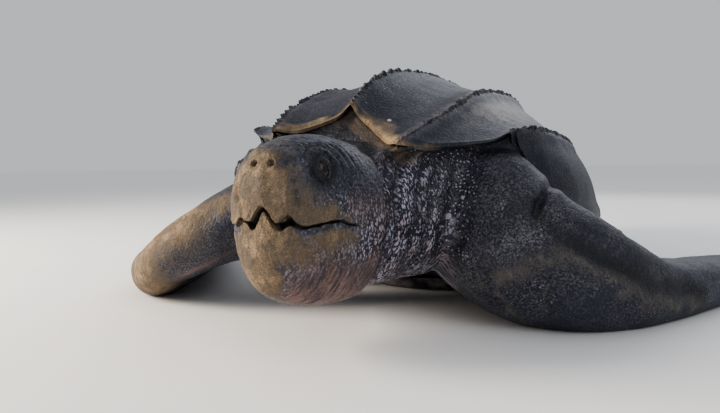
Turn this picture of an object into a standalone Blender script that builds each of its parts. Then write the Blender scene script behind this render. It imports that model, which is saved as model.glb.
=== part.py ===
"""A life-size leatherback sea turtle resting on flat ground, as a still museum model.

Metres, +Z up, the head towards -Y and the animal's left towards +X. The origin is on the ground,
in the middle of the flat on which the plastron rests. Each part of the body is a loft of rounded
sections: along the body for the shell, trunk, neck and head, and along a limb for each flipper.
"""

import math

import bmesh
import bpy
import numpy as np

COLLECTION = "leatherback_turtle"
CUTTERS = "cutters"
GAP = 0.0005
WELD = 0.0000005
SHARP_ANGLE = math.radians(50)

# ---- shell -------------------------------------------------------------------
SHELL_LENGTH = 1.50
SHELL_FRONT = -0.77
SHELL_THICK = 0.030
BODY_ROLL = math.radians(2.0)
ROLL_CENTRE_Z = 0.45
KEEL_HEIGHT = 0.014
KEEL_WIDTH = 0.14
FLUTE_DEPTH = 0.010
# How far each flute of one side bows out, as a share of its width, from the median one.
FLUTE_BOW = np.array([0.06, 0.06, 0.17])
FLUTE_COLUMNS = 4
SHELL_ROWS = 24
# Seven keels run from the front edge (0) to the tip (1) of the shell. For each station along
# it: half width and height of the keels' crests, from the median one out to the margin.
STATIONS = np.array([0.0, 0.08, 0.2, 0.4, 0.6, 0.8, 0.93, 1.0])
MEDIAN_Z = np.array([0.396, 0.450, 0.486, 0.500, 0.490, 0.430, 0.345, 0.276])
INNER_X = np.array([0.115, 0.148, 0.165, 0.169, 0.152, 0.104, 0.048, 0.010])
INNER_Z = np.array([0.334, 0.386, 0.440, 0.458, 0.438, 0.384, 0.320, 0.269])
OUTER_X = np.array([0.262, 0.288, 0.306, 0.312, 0.278, 0.184, 0.084, 0.018])
OUTER_Z = np.array([0.350, 0.358, 0.356, 0.346, 0.332, 0.306, 0.282, 0.261])
MARGIN_X = np.array([0.296, 0.334, 0.378, 0.394, 0.352, 0.228, 0.104, 0.024])
MARGIN_Z = np.array([0.240, 0.222, 0.186, 0.162, 0.172, 0.205, 0.234, 0.252])
# The front edge: how far each keel's end stands ahead of the front line, how far the edge is
# set back between two keels, and how much lower the left inner keel hangs than the right.
FRONT_LEAD = np.array([-0.020, 0.055, -0.120, -0.200])
FRONT_SCALLOP = 0.020
FRONT_FADE = 0.40
FRONT_SAG = 0.010
SAG_FADE = 0.45
# The shell's inner face lies towards a core line, further back than the outer face in front.
CORE_Z = 0.12
CORE_LEAN = 0.15

# ---- trunk and plastron --------------------------------------------------------
TRUNK_FROM_Y = -0.54
FLANK_STEPS = 4
FLANK_SWELL = 0.012
BELLY_STEPS = 4
BELLY_STATIONS = np.array([0.0, 0.09, 0.2, 0.80, 0.9, 1.0])
BELLY_LEVEL = np.array([0.190, 0.120, 0.031, 0.031, 0.095, 0.205])
BELLY_WIDTH = 0.62
FLANK_POWER = 0.5
PLASTRON_HALF = (0.225, 0.44)
PLASTRON_LAYERS = ((0.0, 0.93), (0.012, 0.985), (0.030, 1.0))
PLASTRON_TAPER = 0.25
PLASTRON_SIDES = 24
# Powers that round the plastron's outline across and along the body.
PLASTRON_POWERS = (0.8, 0.9)
# The cube that cuts the trunk off in front: its side and the height of its middle.
AHEAD_SIDE = 1.0
AHEAD_MIDDLE_Z = 0.3
# The share of the shell's thickness left above the trunk's own room.
FILLED_COVER = 0.5

# ---- head ----------------------------------------------------------------------
HEAD_SIDES = 30
# Sections from the back of the skull to the snout: place, half width, level of the widest
# line, top and bottom.
HEAD_Y = np.array([-0.842, -0.865, -0.89, -0.915, -0.95, -0.985, -1.012, -1.030, -1.040, -1.046])
HEAD_WIDTH = np.array([0.106, 0.115, 0.120, 0.118, 0.103, 0.084, 0.067, 0.050, 0.034, 0.012])
HEAD_LEVEL = np.array([0.195, 0.190, 0.190, 0.194, 0.202, 0.212, 0.220, 0.226, 0.230, 0.232])
HEAD_TOP = np.array([0.314, 0.323, 0.328, 0.329, 0.326, 0.319, 0.310, 0.301, 0.292, 0.262])
HEAD_BOTTOM = np.array([0.086, 0.078, 0.073, 0.072, 0.077, 0.088, 0.104, 0.124, 0.146, 0.200])
HEAD_RINGS = (-0.842, -0.865, -0.89, -0.915, -0.935, -0.955, -0.972, -0.988, -1.003, -1.016,
              -1.027, -1.036, -1.042, -1.046)
ROUNDNESS = 2.25
EYE_RADIUS = 0.021
EYE_CENTRE = (0.0525, -0.9825, 0.2740)
NOSTRIL_CENTRE = (0.0135, -1.037, 0.287)
NOSTRIL_RADIUS = 0.0045
# Edges of the horny beak, from the middle of the snout out to the corner of the mouth.
MOUTH_X = np.array([0.0, 0.010, 0.0225, 0.031, 0.038, 0.054, 0.070, 0.084, 0.098])
UPPER_EDGE_Z = np.array([0.231, 0.221, 0.207, 0.214, 0.218, 0.202, 0.205, 0.2085, 0.200])
LOWER_EDGE_Z = np.array([0.227, 0.209, 0.1965, 0.200, 0.204, 0.199, 0.2025, 0.2065, 0.1985])
MOUTH_CORNER_Y = -0.945
JAW_BACK_Y = -0.880
JAW_BACK_Z = 0.06
JAW_ROOM_HALF = 0.2
JAW_ROOM_FRONT = -1.2

# ---- neck ----------------------------------------------------------------------
NECK_SIDES = 24
NECK_Y = np.array([-0.8414, -0.815, -0.77, -0.71, -0.64, -0.56, -0.46])
NECK_WIDTH = np.array([0.106, 0.121, 0.148, 0.181, 0.217, 0.232, 0.232])
NECK_LEVEL = np.array([0.195, 0.198, 0.204, 0.212, 0.222, 0.225, 0.225])
NECK_TOP = np.array([0.314, 0.318, 0.334, 0.366, 0.396, 0.406, 0.406])
NECK_BOTTOM = np.array([0.086, 0.080, 0.076, 0.072, 0.070, 0.070, 0.070])
NECK_RINGS = (-0.8414, -0.825, -0.80, -0.765, -0.72, -0.67, -0.61, -0.54, -0.46)

# ---- limbs ---------------------------------------------------------------------
# A row for each station along a limb: x, y, z of the centre line, reach towards the leading
# edge, reach towards the trailing edge, half thickness, tilt of the chord (leading edge down)
# in degrees, and how much thicker the leading half is.
LIMB_SIDES = 16
TAIL_SIDES = 12
ARM_LEFT = np.array([
    [0.100, -0.440, 0.200, 0.130, 0.120, 0.125, 0, 0.0],
    [0.182, -0.568, 0.176, 0.130, 0.120, 0.132, 0, 0.0],
    [0.262, -0.626, 0.149, 0.126, 0.112, 0.151, 6, 0.0],
    [0.340, -0.618, 0.108, 0.114, 0.104, 0.120, 11, 0.05],
    [0.406, -0.566, 0.072, 0.100, 0.116, 0.092, 13, 0.15],
    [0.464, -0.484, 0.050, 0.092, 0.142, 0.062, 10, 0.25],
    [0.544, -0.356, 0.041, 0.086, 0.158, 0.045, 6, 0.35],
    [0.630, -0.214, 0.032, 0.078, 0.150, 0.034, 6, 0.35],
    [0.720, -0.068, 0.026, 0.066, 0.126, 0.026, 7, 0.35],
    [0.804, 0.074, 0.020, 0.048, 0.092, 0.019, 8, 0.3],
    [0.866, 0.186, 0.015, 0.030, 0.056, 0.012, 8, 0.2],
    [0.898, 0.248, 0.011, 0.008, 0.016, 0.005, 8, 0.0],
])
ARM_RIGHT = np.array([
    [-0.100, -0.450, 0.210, 0.130, 0.120, 0.125, 0, 0.0],
    [-0.190, -0.580, 0.202, 0.122, 0.118, 0.108, 0, 0.0],
    [-0.294, -0.676, 0.168, 0.098, 0.108, 0.080, 6, 0.0],
    [-0.396, -0.716, 0.114, 0.078, 0.102, 0.065, 12, 0.05],
    [-0.468, -0.692, 0.069, 0.066, 0.114, 0.054, 16, 0.15],
    [-0.522, -0.612, 0.050, 0.080, 0.138, 0.054, 17, 0.25],
    [-0.598, -0.472, 0.046, 0.084, 0.156, 0.045, 15, 0.35],
    [-0.680, -0.326, 0.040, 0.078, 0.150, 0.034, 14, 0.35],
    [-0.764, -0.176, 0.034, 0.066, 0.126, 0.026, 13, 0.35],
    [-0.840, -0.030, 0.027, 0.048, 0.092, 0.019, 12, 0.3],
    [-0.896, 0.086, 0.020, 0.030, 0.056, 0.012, 10, 0.2],
    [-0.924, 0.150, 0.014, 0.008, 0.016, 0.005, 8, 0.0],
])
ARM_RINGS = 22
ELBOW_RING = 8
LEG_LEFT = np.array([
    [0.115, 0.390, 0.135, 0.100, 0.095, 0.095, 0, 0.0],
    [0.175, 0.480, 0.112, 0.094, 0.092, 0.080, 0, 0.0],
    [0.228, 0.566, 0.080, 0.088, 0.092, 0.056, 6, 0.1],
    [0.268, 0.652, 0.052, 0.098, 0.104, 0.036, 8, 0.2],
    [0.298, 0.736, 0.034, 0.112, 0.114, 0.022, 7, 0.25],
    [0.318, 0.806, 0.023, 0.102, 0.100, 0.014, 5, 0.25],
    [0.330, 0.862, 0.015, 0.066, 0.062, 0.009, 3, 0.2],
    [0.336, 0.886, 0.010, 0.018, 0.018, 0.005, 0, 0.0],
])
LEG_RINGS = 10
TAIL = np.array([
    [0.0, 0.480, 0.140, 0.095, 0.095, 0.088, 0, 0.0],
    [0.0, 0.580, 0.118, 0.074, 0.074, 0.074, 0, 0.0],
    [0.0, 0.680, 0.086, 0.050, 0.050, 0.054, 0, 0.0],
    [0.0, 0.760, 0.058, 0.034, 0.034, 0.037, 0, 0.0],
    [0.0, 0.830, 0.035, 0.020, 0.020, 0.023, 0, 0.0],
    [0.0, 0.868, 0.022, 0.007, 0.007, 0.008, 0, 0.0],
])
TAIL_RINGS = 8

# ---- colours: base colour and roughness ------------------------------------------
COLOURS = {
    "shell": ((0.030, 0.033, 0.045), 0.45),
    "skin": ((0.038, 0.042, 0.056), 0.50),
    "neck": ((0.080, 0.075, 0.090), 0.55),
    "beak": ((0.300, 0.215, 0.150), 0.70),
    "belly": ((0.220, 0.190, 0.190), 0.60),
    "eye": ((0.010, 0.009, 0.010), 0.12),
}


# ================================================================ curves

def smooth_curve(knots, values, places):
    """Values at the places, on a smooth curve through the values at the knots."""
    knots = np.asarray(knots, float)
    values = np.asarray(values, float)
    if knots[0] > knots[-1]:
        knots, values = knots[::-1], values[::-1]
    table = values.reshape(len(knots), -1)
    slope = np.diff(table, axis=0) / np.diff(knots)[:, None]
    limit = 2.5 * np.minimum(abs(slope[:-1]), abs(slope[1:]))
    inner = np.clip(0.5 * (slope[:-1] + slope[1:]), -limit, limit)
    inner = np.where(slope[:-1] * slope[1:] > 0, inner, 0.0)
    tangent = np.vstack([slope[:1], inner, slope[-1:]])
    places = np.clip(np.asarray(places, float), knots[0], knots[-1])
    i = np.clip(np.searchsorted(knots, places, side="right") - 1, 0, len(knots) - 2)
    width = np.diff(knots)[i]
    u = ((places - knots[i]) / width)[:, None]
    width = width[:, None]
    result = (
        table[i] * (1 + 2 * u) * (1 - u) ** 2
        + tangent[i] * width * u * (1 - u) ** 2
        + table[i + 1] * u * u * (3 - 2 * u)
        - tangent[i + 1] * width * u * u * (1 - u)
    )
    return result.reshape((len(places),) + values.shape[1:])


def along(table, rings):
    """Rows of a limb's table at evenly spaced rings."""
    steps = np.linalg.norm(np.diff(table[:, :3], axis=0), axis=1)
    reach = np.concatenate([[0.0], np.cumsum(steps)])
    return smooth_curve(reach, table, np.linspace(0.0, reach[-1], rings))


def signed_power(value, power):
    return np.sign(value) * np.abs(value) ** power


# ================================================================ meshes

def link(obj, colour, collection):
    """Puts an object in its collection: a shown piece with its material, or a cutter as a wire."""
    bpy.data.collections[collection].objects.link(obj)
    if colour:
        obj.data.materials.append(material(obj.name, colour))
        obj.data.shade_smooth()
        obj.data.set_sharp_from_angle(angle=SHARP_ANGLE)
    else:
        obj.hide_render = True
        obj.display_type = "WIRE"


def add_object(name, points, faces, colour, collection):
    """A mesh object of its own colour, with its faces turned outwards."""
    mesh = bpy.data.meshes.new(name)
    mesh.from_pydata([tuple(p) for p in points], [], faces)
    shape = bmesh.new()
    shape.from_mesh(mesh)
    bmesh.ops.remove_doubles(shape, verts=shape.verts, dist=WELD)
    bmesh.ops.recalc_face_normals(shape, faces=shape.faces)
    shape.to_mesh(mesh)
    shape.free()
    obj = bpy.data.objects.new(name, mesh)
    link(obj, colour, collection)
    return obj


def material(name, colour):
    base, roughness = COLOURS[colour]
    result = bpy.data.materials.new(name)
    result.use_nodes = True
    shader = result.node_tree.nodes["Principled BSDF"]
    shader.inputs["Base Color"].default_value = (*base, 1.0)
    shader.inputs["Roughness"].default_value = roughness
    shader.inputs["Metallic"].default_value = 0.0
    return result


def loft_faces(rings, sides):
    """Quads between neighbouring closed rings, and a flat cap on each end."""
    faces = []
    for ring in range(rings - 1):
        for k in range(sides):
            a = ring * sides + k
            b = ring * sides + (k + 1) % sides
            faces.append((a, b, b + sides, a + sides))
    faces.append(tuple(range(sides))[::-1])
    faces.append(tuple(range((rings - 1) * sides, rings * sides)))
    return faces


def split(faces, turned=()):
    """Quads as two triangles each, cut from their first corner, or their second if turned."""
    result = []
    for number, face in enumerate(faces):
        if len(face) != 4:
            result.append(face)
            continue
        a, b, c, d = np.roll(face, -1) if number in turned else face
        result += [(int(a), int(b), int(c)), (int(a), int(c), int(d))]
    return result


def loft(name, sections, colour, collection=COLLECTION):
    """A solid through closed sections, an array of rings x sides x 3."""
    rings, sides = sections.shape[:2]
    faces = split(loft_faces(rings, sides))
    return add_object(name, sections.reshape(-1, 3), faces, colour, collection)


def grown(obj, by):
    """A copy of an object as a cutter, moved out along its normals."""
    depsgraph = bpy.context.evaluated_depsgraph_get()
    mesh = bpy.data.meshes.new_from_object(obj.evaluated_get(depsgraph))
    copy = bpy.data.objects.new(obj.name + "_room", mesh)
    link(copy, None, CUTTERS)
    normals = [v.normal.copy() for v in mesh.vertices]
    for vertex, normal in zip(mesh.vertices, normals):
        vertex.co += normal * by
    return copy


def cut(obj, cutter, operation="DIFFERENCE"):
    """Cuts an object at once and keeps the result as its mesh."""
    modifier = obj.modifiers.new(operation.lower(), "BOOLEAN")
    modifier.operation = operation
    modifier.solver = "EXACT"
    modifier.object = cutter
    bpy.context.view_layer.update()
    depsgraph = bpy.context.evaluated_depsgraph_get()
    mesh = bpy.data.meshes.new_from_object(obj.evaluated_get(depsgraph))
    obj.modifiers.clear()
    obj.data = mesh
    tidy(obj)


def tidy(obj):
    """Welds the slivers that a cut leaves."""
    shape = bmesh.new()
    shape.from_mesh(obj.data)
    bmesh.ops.remove_doubles(shape, verts=shape.verts, dist=WELD)
    shape.to_mesh(obj.data)
    shape.free()


# ================================================================ shell and trunk

def keel_table(t):
    """Half width and height of the four keel lines of one side at the places t."""
    zero = np.zeros(len(STATIONS))
    widths = np.stack([zero, INNER_X, OUTER_X, MARGIN_X], axis=1)
    heights = np.stack([MEDIAN_Z, INNER_Z, OUTER_Z, MARGIN_Z], axis=1)
    return smooth_curve(STATIONS, widths, t), smooth_curve(STATIONS, heights, t)


def shell_points(t, columns, depth):
    """The shell's surface, rows from front to tip and columns from right to left, moved in
    towards the body's core by depth."""
    lane = np.linspace(-3.0, 3.0, columns)
    side = np.where(lane < 0, -1.0, 1.0)
    low = np.clip(np.floor(abs(lane)).astype(int), 0, 2)
    f = abs(lane) - low
    keel_x, keel_z = keel_table(t)
    x = keel_x[:, low] * (1 - f) + keel_x[:, low + 1] * f
    z = keel_z[:, low] * (1 - f) + keel_z[:, low + 1] * f
    run_x = keel_x[:, low + 1] - keel_x[:, low]
    run_z = keel_z[:, low + 1] - keel_z[:, low]
    run = np.hypot(run_x, run_z) + 1e-9
    ridge = np.exp(-((np.minimum(f, 1 - f) / KEEL_WIDTH) ** 2))
    bow = 4 * f * (1 - f)
    relief = KEEL_HEIGHT * (ridge - 1) - FLUTE_DEPTH * bow
    lift = relief * np.clip((1 - t) / 0.25, 0, 1)[:, None] + FLUTE_BOW[low] * run * bow
    x = x - run_z / run * lift
    z = z + run_x / run * lift
    fade = np.clip(1 - t / FRONT_FADE, 0, 1)[:, None] ** 2
    sag = FRONT_SAG * side * np.interp(abs(lane), np.arange(4), [0, 1, 0, 0])
    z = z - sag * np.clip(1 - t / SAG_FADE, 0, 1)[:, None]
    lead = np.interp(abs(lane), np.arange(4), FRONT_LEAD) - FRONT_SCALLOP * bow
    y = SHELL_FRONT + SHELL_LENGTH * t[:, None] - lead * fade
    points = np.stack([side * x, y, z], axis=-1)
    core = np.stack([side * 0.5 * keel_x[:, 1:2], y + CORE_LEAN * fade, CORE_Z + 0 * z], axis=-1)
    inward = core - points
    inward /= np.linalg.norm(inward, axis=-1, keepdims=True)
    return points + inward * depth


def rolled(points):
    """Points after the body's lean to its left."""
    c, s = math.cos(BODY_ROLL), math.sin(BODY_ROLL)
    x, y, z = points[..., 0], points[..., 1], points[..., 2] - ROLL_CENTRE_Z
    return np.stack([x * c + z * s, y, ROLL_CENTRE_Z + z * c - x * s], axis=-1)


def shell_rows(rows):
    return np.linspace(0.0, 1.0, rows) ** 1.2


def build_carapace():
    """A curved shell of even thickness, thinner towards its tip, with a scalloped front."""
    t = shell_rows(SHELL_ROWS)
    columns = 6 * FLUTE_COLUMNS + 1
    thick = shell_thickness(t)
    outer = rolled(shell_points(t, columns, 0.0))
    inner = rolled(shell_points(t, columns, thick))
    sections = np.concatenate([outer, inner[:, ::-1]], axis=1)
    rings, sides = sections.shape[:2]
    faces = loft_faces(rings, sides)[:-2]
    turned = {n for n in range(len(faces)) if n % sides >= columns}
    for row in (0, rings - 1):
        for k in range(columns - 1):
            a = row * sides + k
            b = row * sides + sides - 1 - k
            faces.append((a, a + 1, b - 1, b))
    return add_object("carapace", sections.reshape(-1, 3), split(faces, turned), "shell", COLLECTION)


def shell_thickness(t):
    """Thinner at the front edge and towards the tip."""
    front = 1 - 0.4 * np.clip(1 - t / 0.1, 0, 1) ** 2
    return (SHELL_THICK * front * (1 - 0.65 * t ** 4))[:, None, None]


def flank(edge, level):
    """Points down one flank, from the shell's margin to the flat of the belly."""
    angle = np.linspace(0, math.pi / 2, FLANK_STEPS + 1)[1:]
    rise = max(edge[2] - level, 0.02)
    swell = FLANK_SWELL * np.sin(2 * angle) * np.sign(edge[0])
    x = edge[0] * (BELLY_WIDTH + (1 - BELLY_WIDTH) * np.cos(angle) ** FLANK_POWER) + swell
    return np.stack([x, 0 * x + edge[1], level + rise * (1 - np.sin(angle) ** 1.1)], axis=-1)


def trunk_sections(cover):
    """Sections of the body inside the shell. Its back lies below the shell's outer face by
    cover, a share of the shell's thickness; its flanks come down from the shell's inner margin,
    and its belly is flat above the plastron and rises to the neck and tail."""
    t = shell_rows(SHELL_ROWS)
    columns = 6 * FLUTE_COLUMNS + 1
    inner = rolled(shell_points(t, columns, shell_thickness(t) + 2 * GAP))
    back = rolled(shell_points(t, columns, cover * shell_thickness(t) + 2 * GAP))
    levels = smooth_curve(BELLY_STATIONS, BELLY_LEVEL, t)
    rings = []
    for row, edge, level in zip(back, inner, levels):
        left = flank(edge[-1], level)
        right = flank(edge[0], level)[::-1]
        share = np.linspace(0, 1, BELLY_STEPS + 1)[1:-1, None]
        belly = left[-1] * (1 - share) + right[0] * share
        rings.append(np.vstack([row, left, belly, right]))
    return np.array(rings)


def build_trunk(name, cover, colour, collection):
    """The body inside the shell, with a plane face in front where the neck begins."""
    trunk = loft(name, trunk_sections(cover), colour, collection)
    shape = bmesh.new()
    bmesh.ops.create_cube(shape, size=AHEAD_SIDE)
    bmesh.ops.translate(shape, verts=shape.verts, vec=(0, TRUNK_FROM_Y - AHEAD_SIDE / 2, AHEAD_MIDDLE_Z))
    ahead = bpy.data.objects.new(name + "_front", bpy.data.meshes.new(name + "_front"))
    shape.to_mesh(ahead.data)
    shape.free()
    link(ahead, None, CUTTERS)
    cut(trunk, ahead)
    return trunk


def build_plastron():
    """A plate with a rounded outline: flat below, where the animal rests, and drawn in a little
    towards its lower edge."""
    angle = np.linspace(0, 2 * math.pi, PLASTRON_SIDES, endpoint=False)
    x = PLASTRON_HALF[0] * signed_power(np.cos(angle), PLASTRON_POWERS[0])
    y = PLASTRON_HALF[1] * signed_power(np.sin(angle), PLASTRON_POWERS[1])
    taper = 1 - PLASTRON_TAPER * np.clip(y / PLASTRON_HALF[1], 0, 1) ** 2
    sections = []
    for height, scale in PLASTRON_LAYERS:
        sections.append(np.stack([x * taper * scale, y * scale, 0 * x + height], axis=-1))
    return loft("plastron", np.array(sections), "belly")


# ================================================================ head and neck

def body_section(y, width, level, top, bottom, sides):
    """A rounded section across the body, with its own top, bottom and widest level."""
    angle = np.linspace(0, 2 * math.pi, sides, endpoint=False)
    c = signed_power(np.cos(angle), 2 / ROUNDNESS)
    s = signed_power(np.sin(angle), 2 / ROUNDNESS)
    height = np.where(s > 0, top - level, level - bottom)
    return np.stack([width * c, 0 * c + y, level + height * s], axis=-1)


def build_head_form():
    table = np.stack([HEAD_WIDTH, HEAD_LEVEL, HEAD_TOP, HEAD_BOTTOM], axis=1)
    rows = smooth_curve(HEAD_Y, table, HEAD_RINGS)
    sections = [body_section(y, *row, HEAD_SIDES) for y, row in zip(HEAD_RINGS, rows)]
    return loft("head", np.array(sections), "skin")


def jaw_block(name, edge_z, back_shift):
    """The room under one edge of the beak, from ahead of the snout to behind the jaw."""
    x = np.concatenate([-MOUTH_X[:0:-1], MOUTH_X])
    z = np.concatenate([edge_z[:0:-1], edge_z])
    x = np.concatenate([[-JAW_ROOM_HALF], x, [JAW_ROOM_HALF]])
    z = np.concatenate([[z[0]], z, [z[-1]]])
    outline = [(a, b) for a, b in zip(x, z)] + [(JAW_ROOM_HALF, 0.0), (-JAW_ROOM_HALF, 0.0)]
    slope = (JAW_BACK_Y - MOUTH_CORNER_Y) / (edge_z[-1] - JAW_BACK_Z)
    rings = []
    for share in (0.0, 1.0):
        ring = []
        for a, b in outline:
            back = MOUTH_CORNER_Y + (edge_z[-1] - b) * slope + back_shift
            ring.append((a, JAW_ROOM_FRONT + (back - JAW_ROOM_FRONT) * share, b))
        rings.append(ring)
    return loft(name, np.array(rings), None, CUTTERS)


def ball(name, radius, centre, colour, collection, segments=14, rings=9):
    shape = bmesh.new()
    bmesh.ops.create_uvsphere(shape, u_segments=segments, v_segments=rings, radius=radius)
    mesh = bpy.data.meshes.new(name)
    shape.to_mesh(mesh)
    shape.free()
    obj = bpy.data.objects.new(name, mesh)
    obj.location = centre
    link(obj, colour, collection)
    return obj


def build_head():
    """The skull with its upper beak, the lower jaw, both eyes in their sockets and the
    nostrils."""
    head = build_head_form()
    depsgraph = bpy.context.evaluated_depsgraph_get()
    jaw = bpy.data.objects.new("lower_jaw", bpy.data.meshes.new_from_object(head.evaluated_get(depsgraph)))
    bpy.data.collections[COLLECTION].objects.link(jaw)
    jaw.data.name = "lower_jaw"
    jaw.data.materials[0] = material("lower_jaw", "beak")
    cut(head, jaw_block("upper_room", UPPER_EDGE_Z, GAP))
    cut(jaw, jaw_block("lower_room", LOWER_EDGE_Z, 0.0), "INTERSECT")
    for side, word in ((1, "left"), (-1, "right")):
        x, y, z = EYE_CENTRE
        ball("eye_" + word, EYE_RADIUS, (side * x, y, z), "eye", COLLECTION)
        cut(head, ball("socket_" + word, EYE_RADIUS + GAP, (side * x, y, z), None, CUTTERS))
        x, y, z = NOSTRIL_CENTRE
        pit = ball("nostril_" + word, NOSTRIL_RADIUS, (side * x, y, z), None, CUTTERS, 10, 6)
        cut(head, pit)


def build_neck():
    table = np.stack([NECK_WIDTH, NECK_LEVEL, NECK_TOP, NECK_BOTTOM], axis=1)
    rows = smooth_curve(NECK_Y, table, NECK_RINGS)
    sections = [body_section(y, *row, NECK_SIDES) for y, row in zip(NECK_RINGS, rows)]
    return loft("neck", np.array(sections), "neck")


# ================================================================ limbs

def limb_sections(table, rings, sides, side):
    """Upright sections across a limb, and the level direction of its centre line at each. The
    leading edge is ahead of the line, and a section is flat where it meets the ground."""
    rows = along(table, rings)
    run = np.gradient(rows[:, :2], axis=0)
    run /= np.linalg.norm(run, axis=1, keepdims=True)
    run = np.column_stack([run, np.zeros(rings)])
    ahead = side * np.column_stack([run[:, 1], -run[:, 0], np.zeros(rings)])
    up = np.array([0.0, 0.0, 1.0])
    angle = np.linspace(0, 2 * math.pi, sides, endpoint=False)
    sections = []
    for row, front in zip(rows, ahead):
        lead, trail, thick, tilt, fuller = row[3:]
        turn = math.radians(tilt)
        chord = front * math.cos(turn) - up * math.sin(turn)
        rise = up * math.cos(turn) + front * math.sin(turn)
        u = np.where(np.cos(angle) > 0, lead, trail) * np.cos(angle)
        v = thick * np.sin(angle) * (1 + fuller * np.cos(angle))
        ring = row[:3] + u[:, None] * chord + v[:, None] * rise
        ring[:, 2] = np.maximum(ring[:, 2], 0.0)
        sections.append(ring)
    return np.array(sections), run


def build_arm(word, table, side):
    """The upper arm, from the shoulder to the elbow, and the blade beyond a thin gap."""
    sections, run = limb_sections(table, ARM_RINGS, LIMB_SIDES, side)
    upper = loft("shoulder_" + word, sections[: ELBOW_RING + 1], "skin")
    blade_sections = sections[ELBOW_RING:].copy()
    blade_sections[0] += GAP * run[ELBOW_RING]
    loft("front_flipper_" + word, blade_sections, "skin")
    return upper


def mirrored(table):
    result = table.copy()
    result[:, 0] *= -1
    return result


def build_legs_and_tail():
    made = []
    for word, side in (("left", 1), ("right", -1)):
        table = LEG_LEFT if side > 0 else mirrored(LEG_LEFT)
        sections = limb_sections(table, LEG_RINGS, LIMB_SIDES, side)[0]
        made.append(loft("rear_flipper_" + word, sections, "skin"))
    sections = limb_sections(TAIL, TAIL_RINGS, TAIL_SIDES, 1)[0]
    made.append(loft("tail", sections, "skin"))
    return made


# ================================================================ the whole animal

def clear_scene():
    for obj in list(bpy.data.objects):
        bpy.data.objects.remove(obj, do_unlink=True)
    for name in (COLLECTION, CUTTERS):
        bpy.context.scene.collection.children.link(bpy.data.collections.new(name))


def trim(obj, rooms):
    for room in rooms:
        cut(obj, room)


def main():
    clear_scene()
    carapace = build_carapace()
    build_trunk("trunk", 1.0, "skin", COLLECTION)
    build_plastron()
    build_head()
    neck = build_neck()
    # What a neighbour takes up, a gap larger all round. The trunk's room reaches up into the
    # shell, and the neck's back into the trunk, so that the rooms overlap.
    filled = build_trunk("trunk_filled", FILLED_COVER, None, CUTTERS)
    rooms = [grown(filled, GAP), grown(carapace, GAP)]
    neck_room = grown(neck, GAP)
    trim(neck, rooms)
    for word, table, side in (("left", ARM_LEFT, 1), ("right", ARM_RIGHT, -1)):
        upper = build_arm(word, table, side)
        trim(upper, [neck_room] + rooms)
    for limb in build_legs_and_tail():
        trim(limb, rooms)


if __name__ == "__main__":
    main()
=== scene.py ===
"""The looks of a life-size leatherback sea turtle at rest.

One skin stands for every node of flesh, a finer shell for the carapace, and round glossy balls
for the eyes. Metres, +Z up, the head towards -Y and the animal's left towards +X, as in the CAD.
"""

import math

import bmesh
import bpy
import numpy as np
from mathutils import Matrix, Vector


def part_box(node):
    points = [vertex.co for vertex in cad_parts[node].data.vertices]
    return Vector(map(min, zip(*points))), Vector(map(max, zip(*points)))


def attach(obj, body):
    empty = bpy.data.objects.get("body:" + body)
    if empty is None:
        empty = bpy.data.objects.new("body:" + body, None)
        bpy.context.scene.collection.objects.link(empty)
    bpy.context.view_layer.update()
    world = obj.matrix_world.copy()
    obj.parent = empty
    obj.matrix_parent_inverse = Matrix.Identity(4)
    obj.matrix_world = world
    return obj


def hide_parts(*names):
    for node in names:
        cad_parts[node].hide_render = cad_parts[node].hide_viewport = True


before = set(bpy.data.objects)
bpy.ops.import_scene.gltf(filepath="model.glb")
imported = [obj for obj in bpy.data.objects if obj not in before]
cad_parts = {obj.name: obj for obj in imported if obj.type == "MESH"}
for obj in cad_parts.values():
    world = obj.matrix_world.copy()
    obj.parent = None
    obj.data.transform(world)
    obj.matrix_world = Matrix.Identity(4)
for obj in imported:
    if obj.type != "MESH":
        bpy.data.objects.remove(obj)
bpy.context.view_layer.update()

BODY = "root"

# ---- camera
CAMERA_PLACE = Vector((0.45, -1.75, 0.285))
CAMERA_TURN = math.radians(23.5)
CAMERA_DIP = math.radians(3.95)
CAMERA_ROLL = math.radians(-0.75)
CAMERA_LENS = 31.5
CAMERA_SENSOR = 36.0

# ---- studio
SKY_COLOUR = (0.82, 0.845, 0.88, 1.0)
SKY_STRENGTH = 0.62
FLOOR_REACH = 30.0
# Soft lights: name, place, the place it points at, width, power and colour.
LIGHTS = (
    ("key", (-3.0, -2.0, 1.5), (0.0, -0.5, 0.2), 1.6, 190.0, (1.0, 0.89, 0.76)),
    ("fill", (2.6, -2.6, 2.4), (0.0, -0.5, 0.2), 2.5, 22.0, (0.92, 0.96, 1.0)),
    ("back", (0.6, 2.8, 2.4), (0.0, 0.0, 0.4), 2.5, 30.0, (0.90, 0.92, 1.0)),
)

# ---- the body's form, as in the CAD
SHELL_LENGTH = 1.50
SHELL_FRONT = -0.77
SHELL_THICK = 0.030
BODY_ROLL = math.radians(2.0)
ROLL_CENTRE_Z = 0.45
KEEL_HEIGHT = 0.014
KEEL_WIDTH = 0.14
FLUTE_DEPTH = 0.010
# How far each flute of one side bows out, as a share of its width, from the median one.
FLUTE_BOW = np.array([0.06, 0.06, 0.17])
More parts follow.
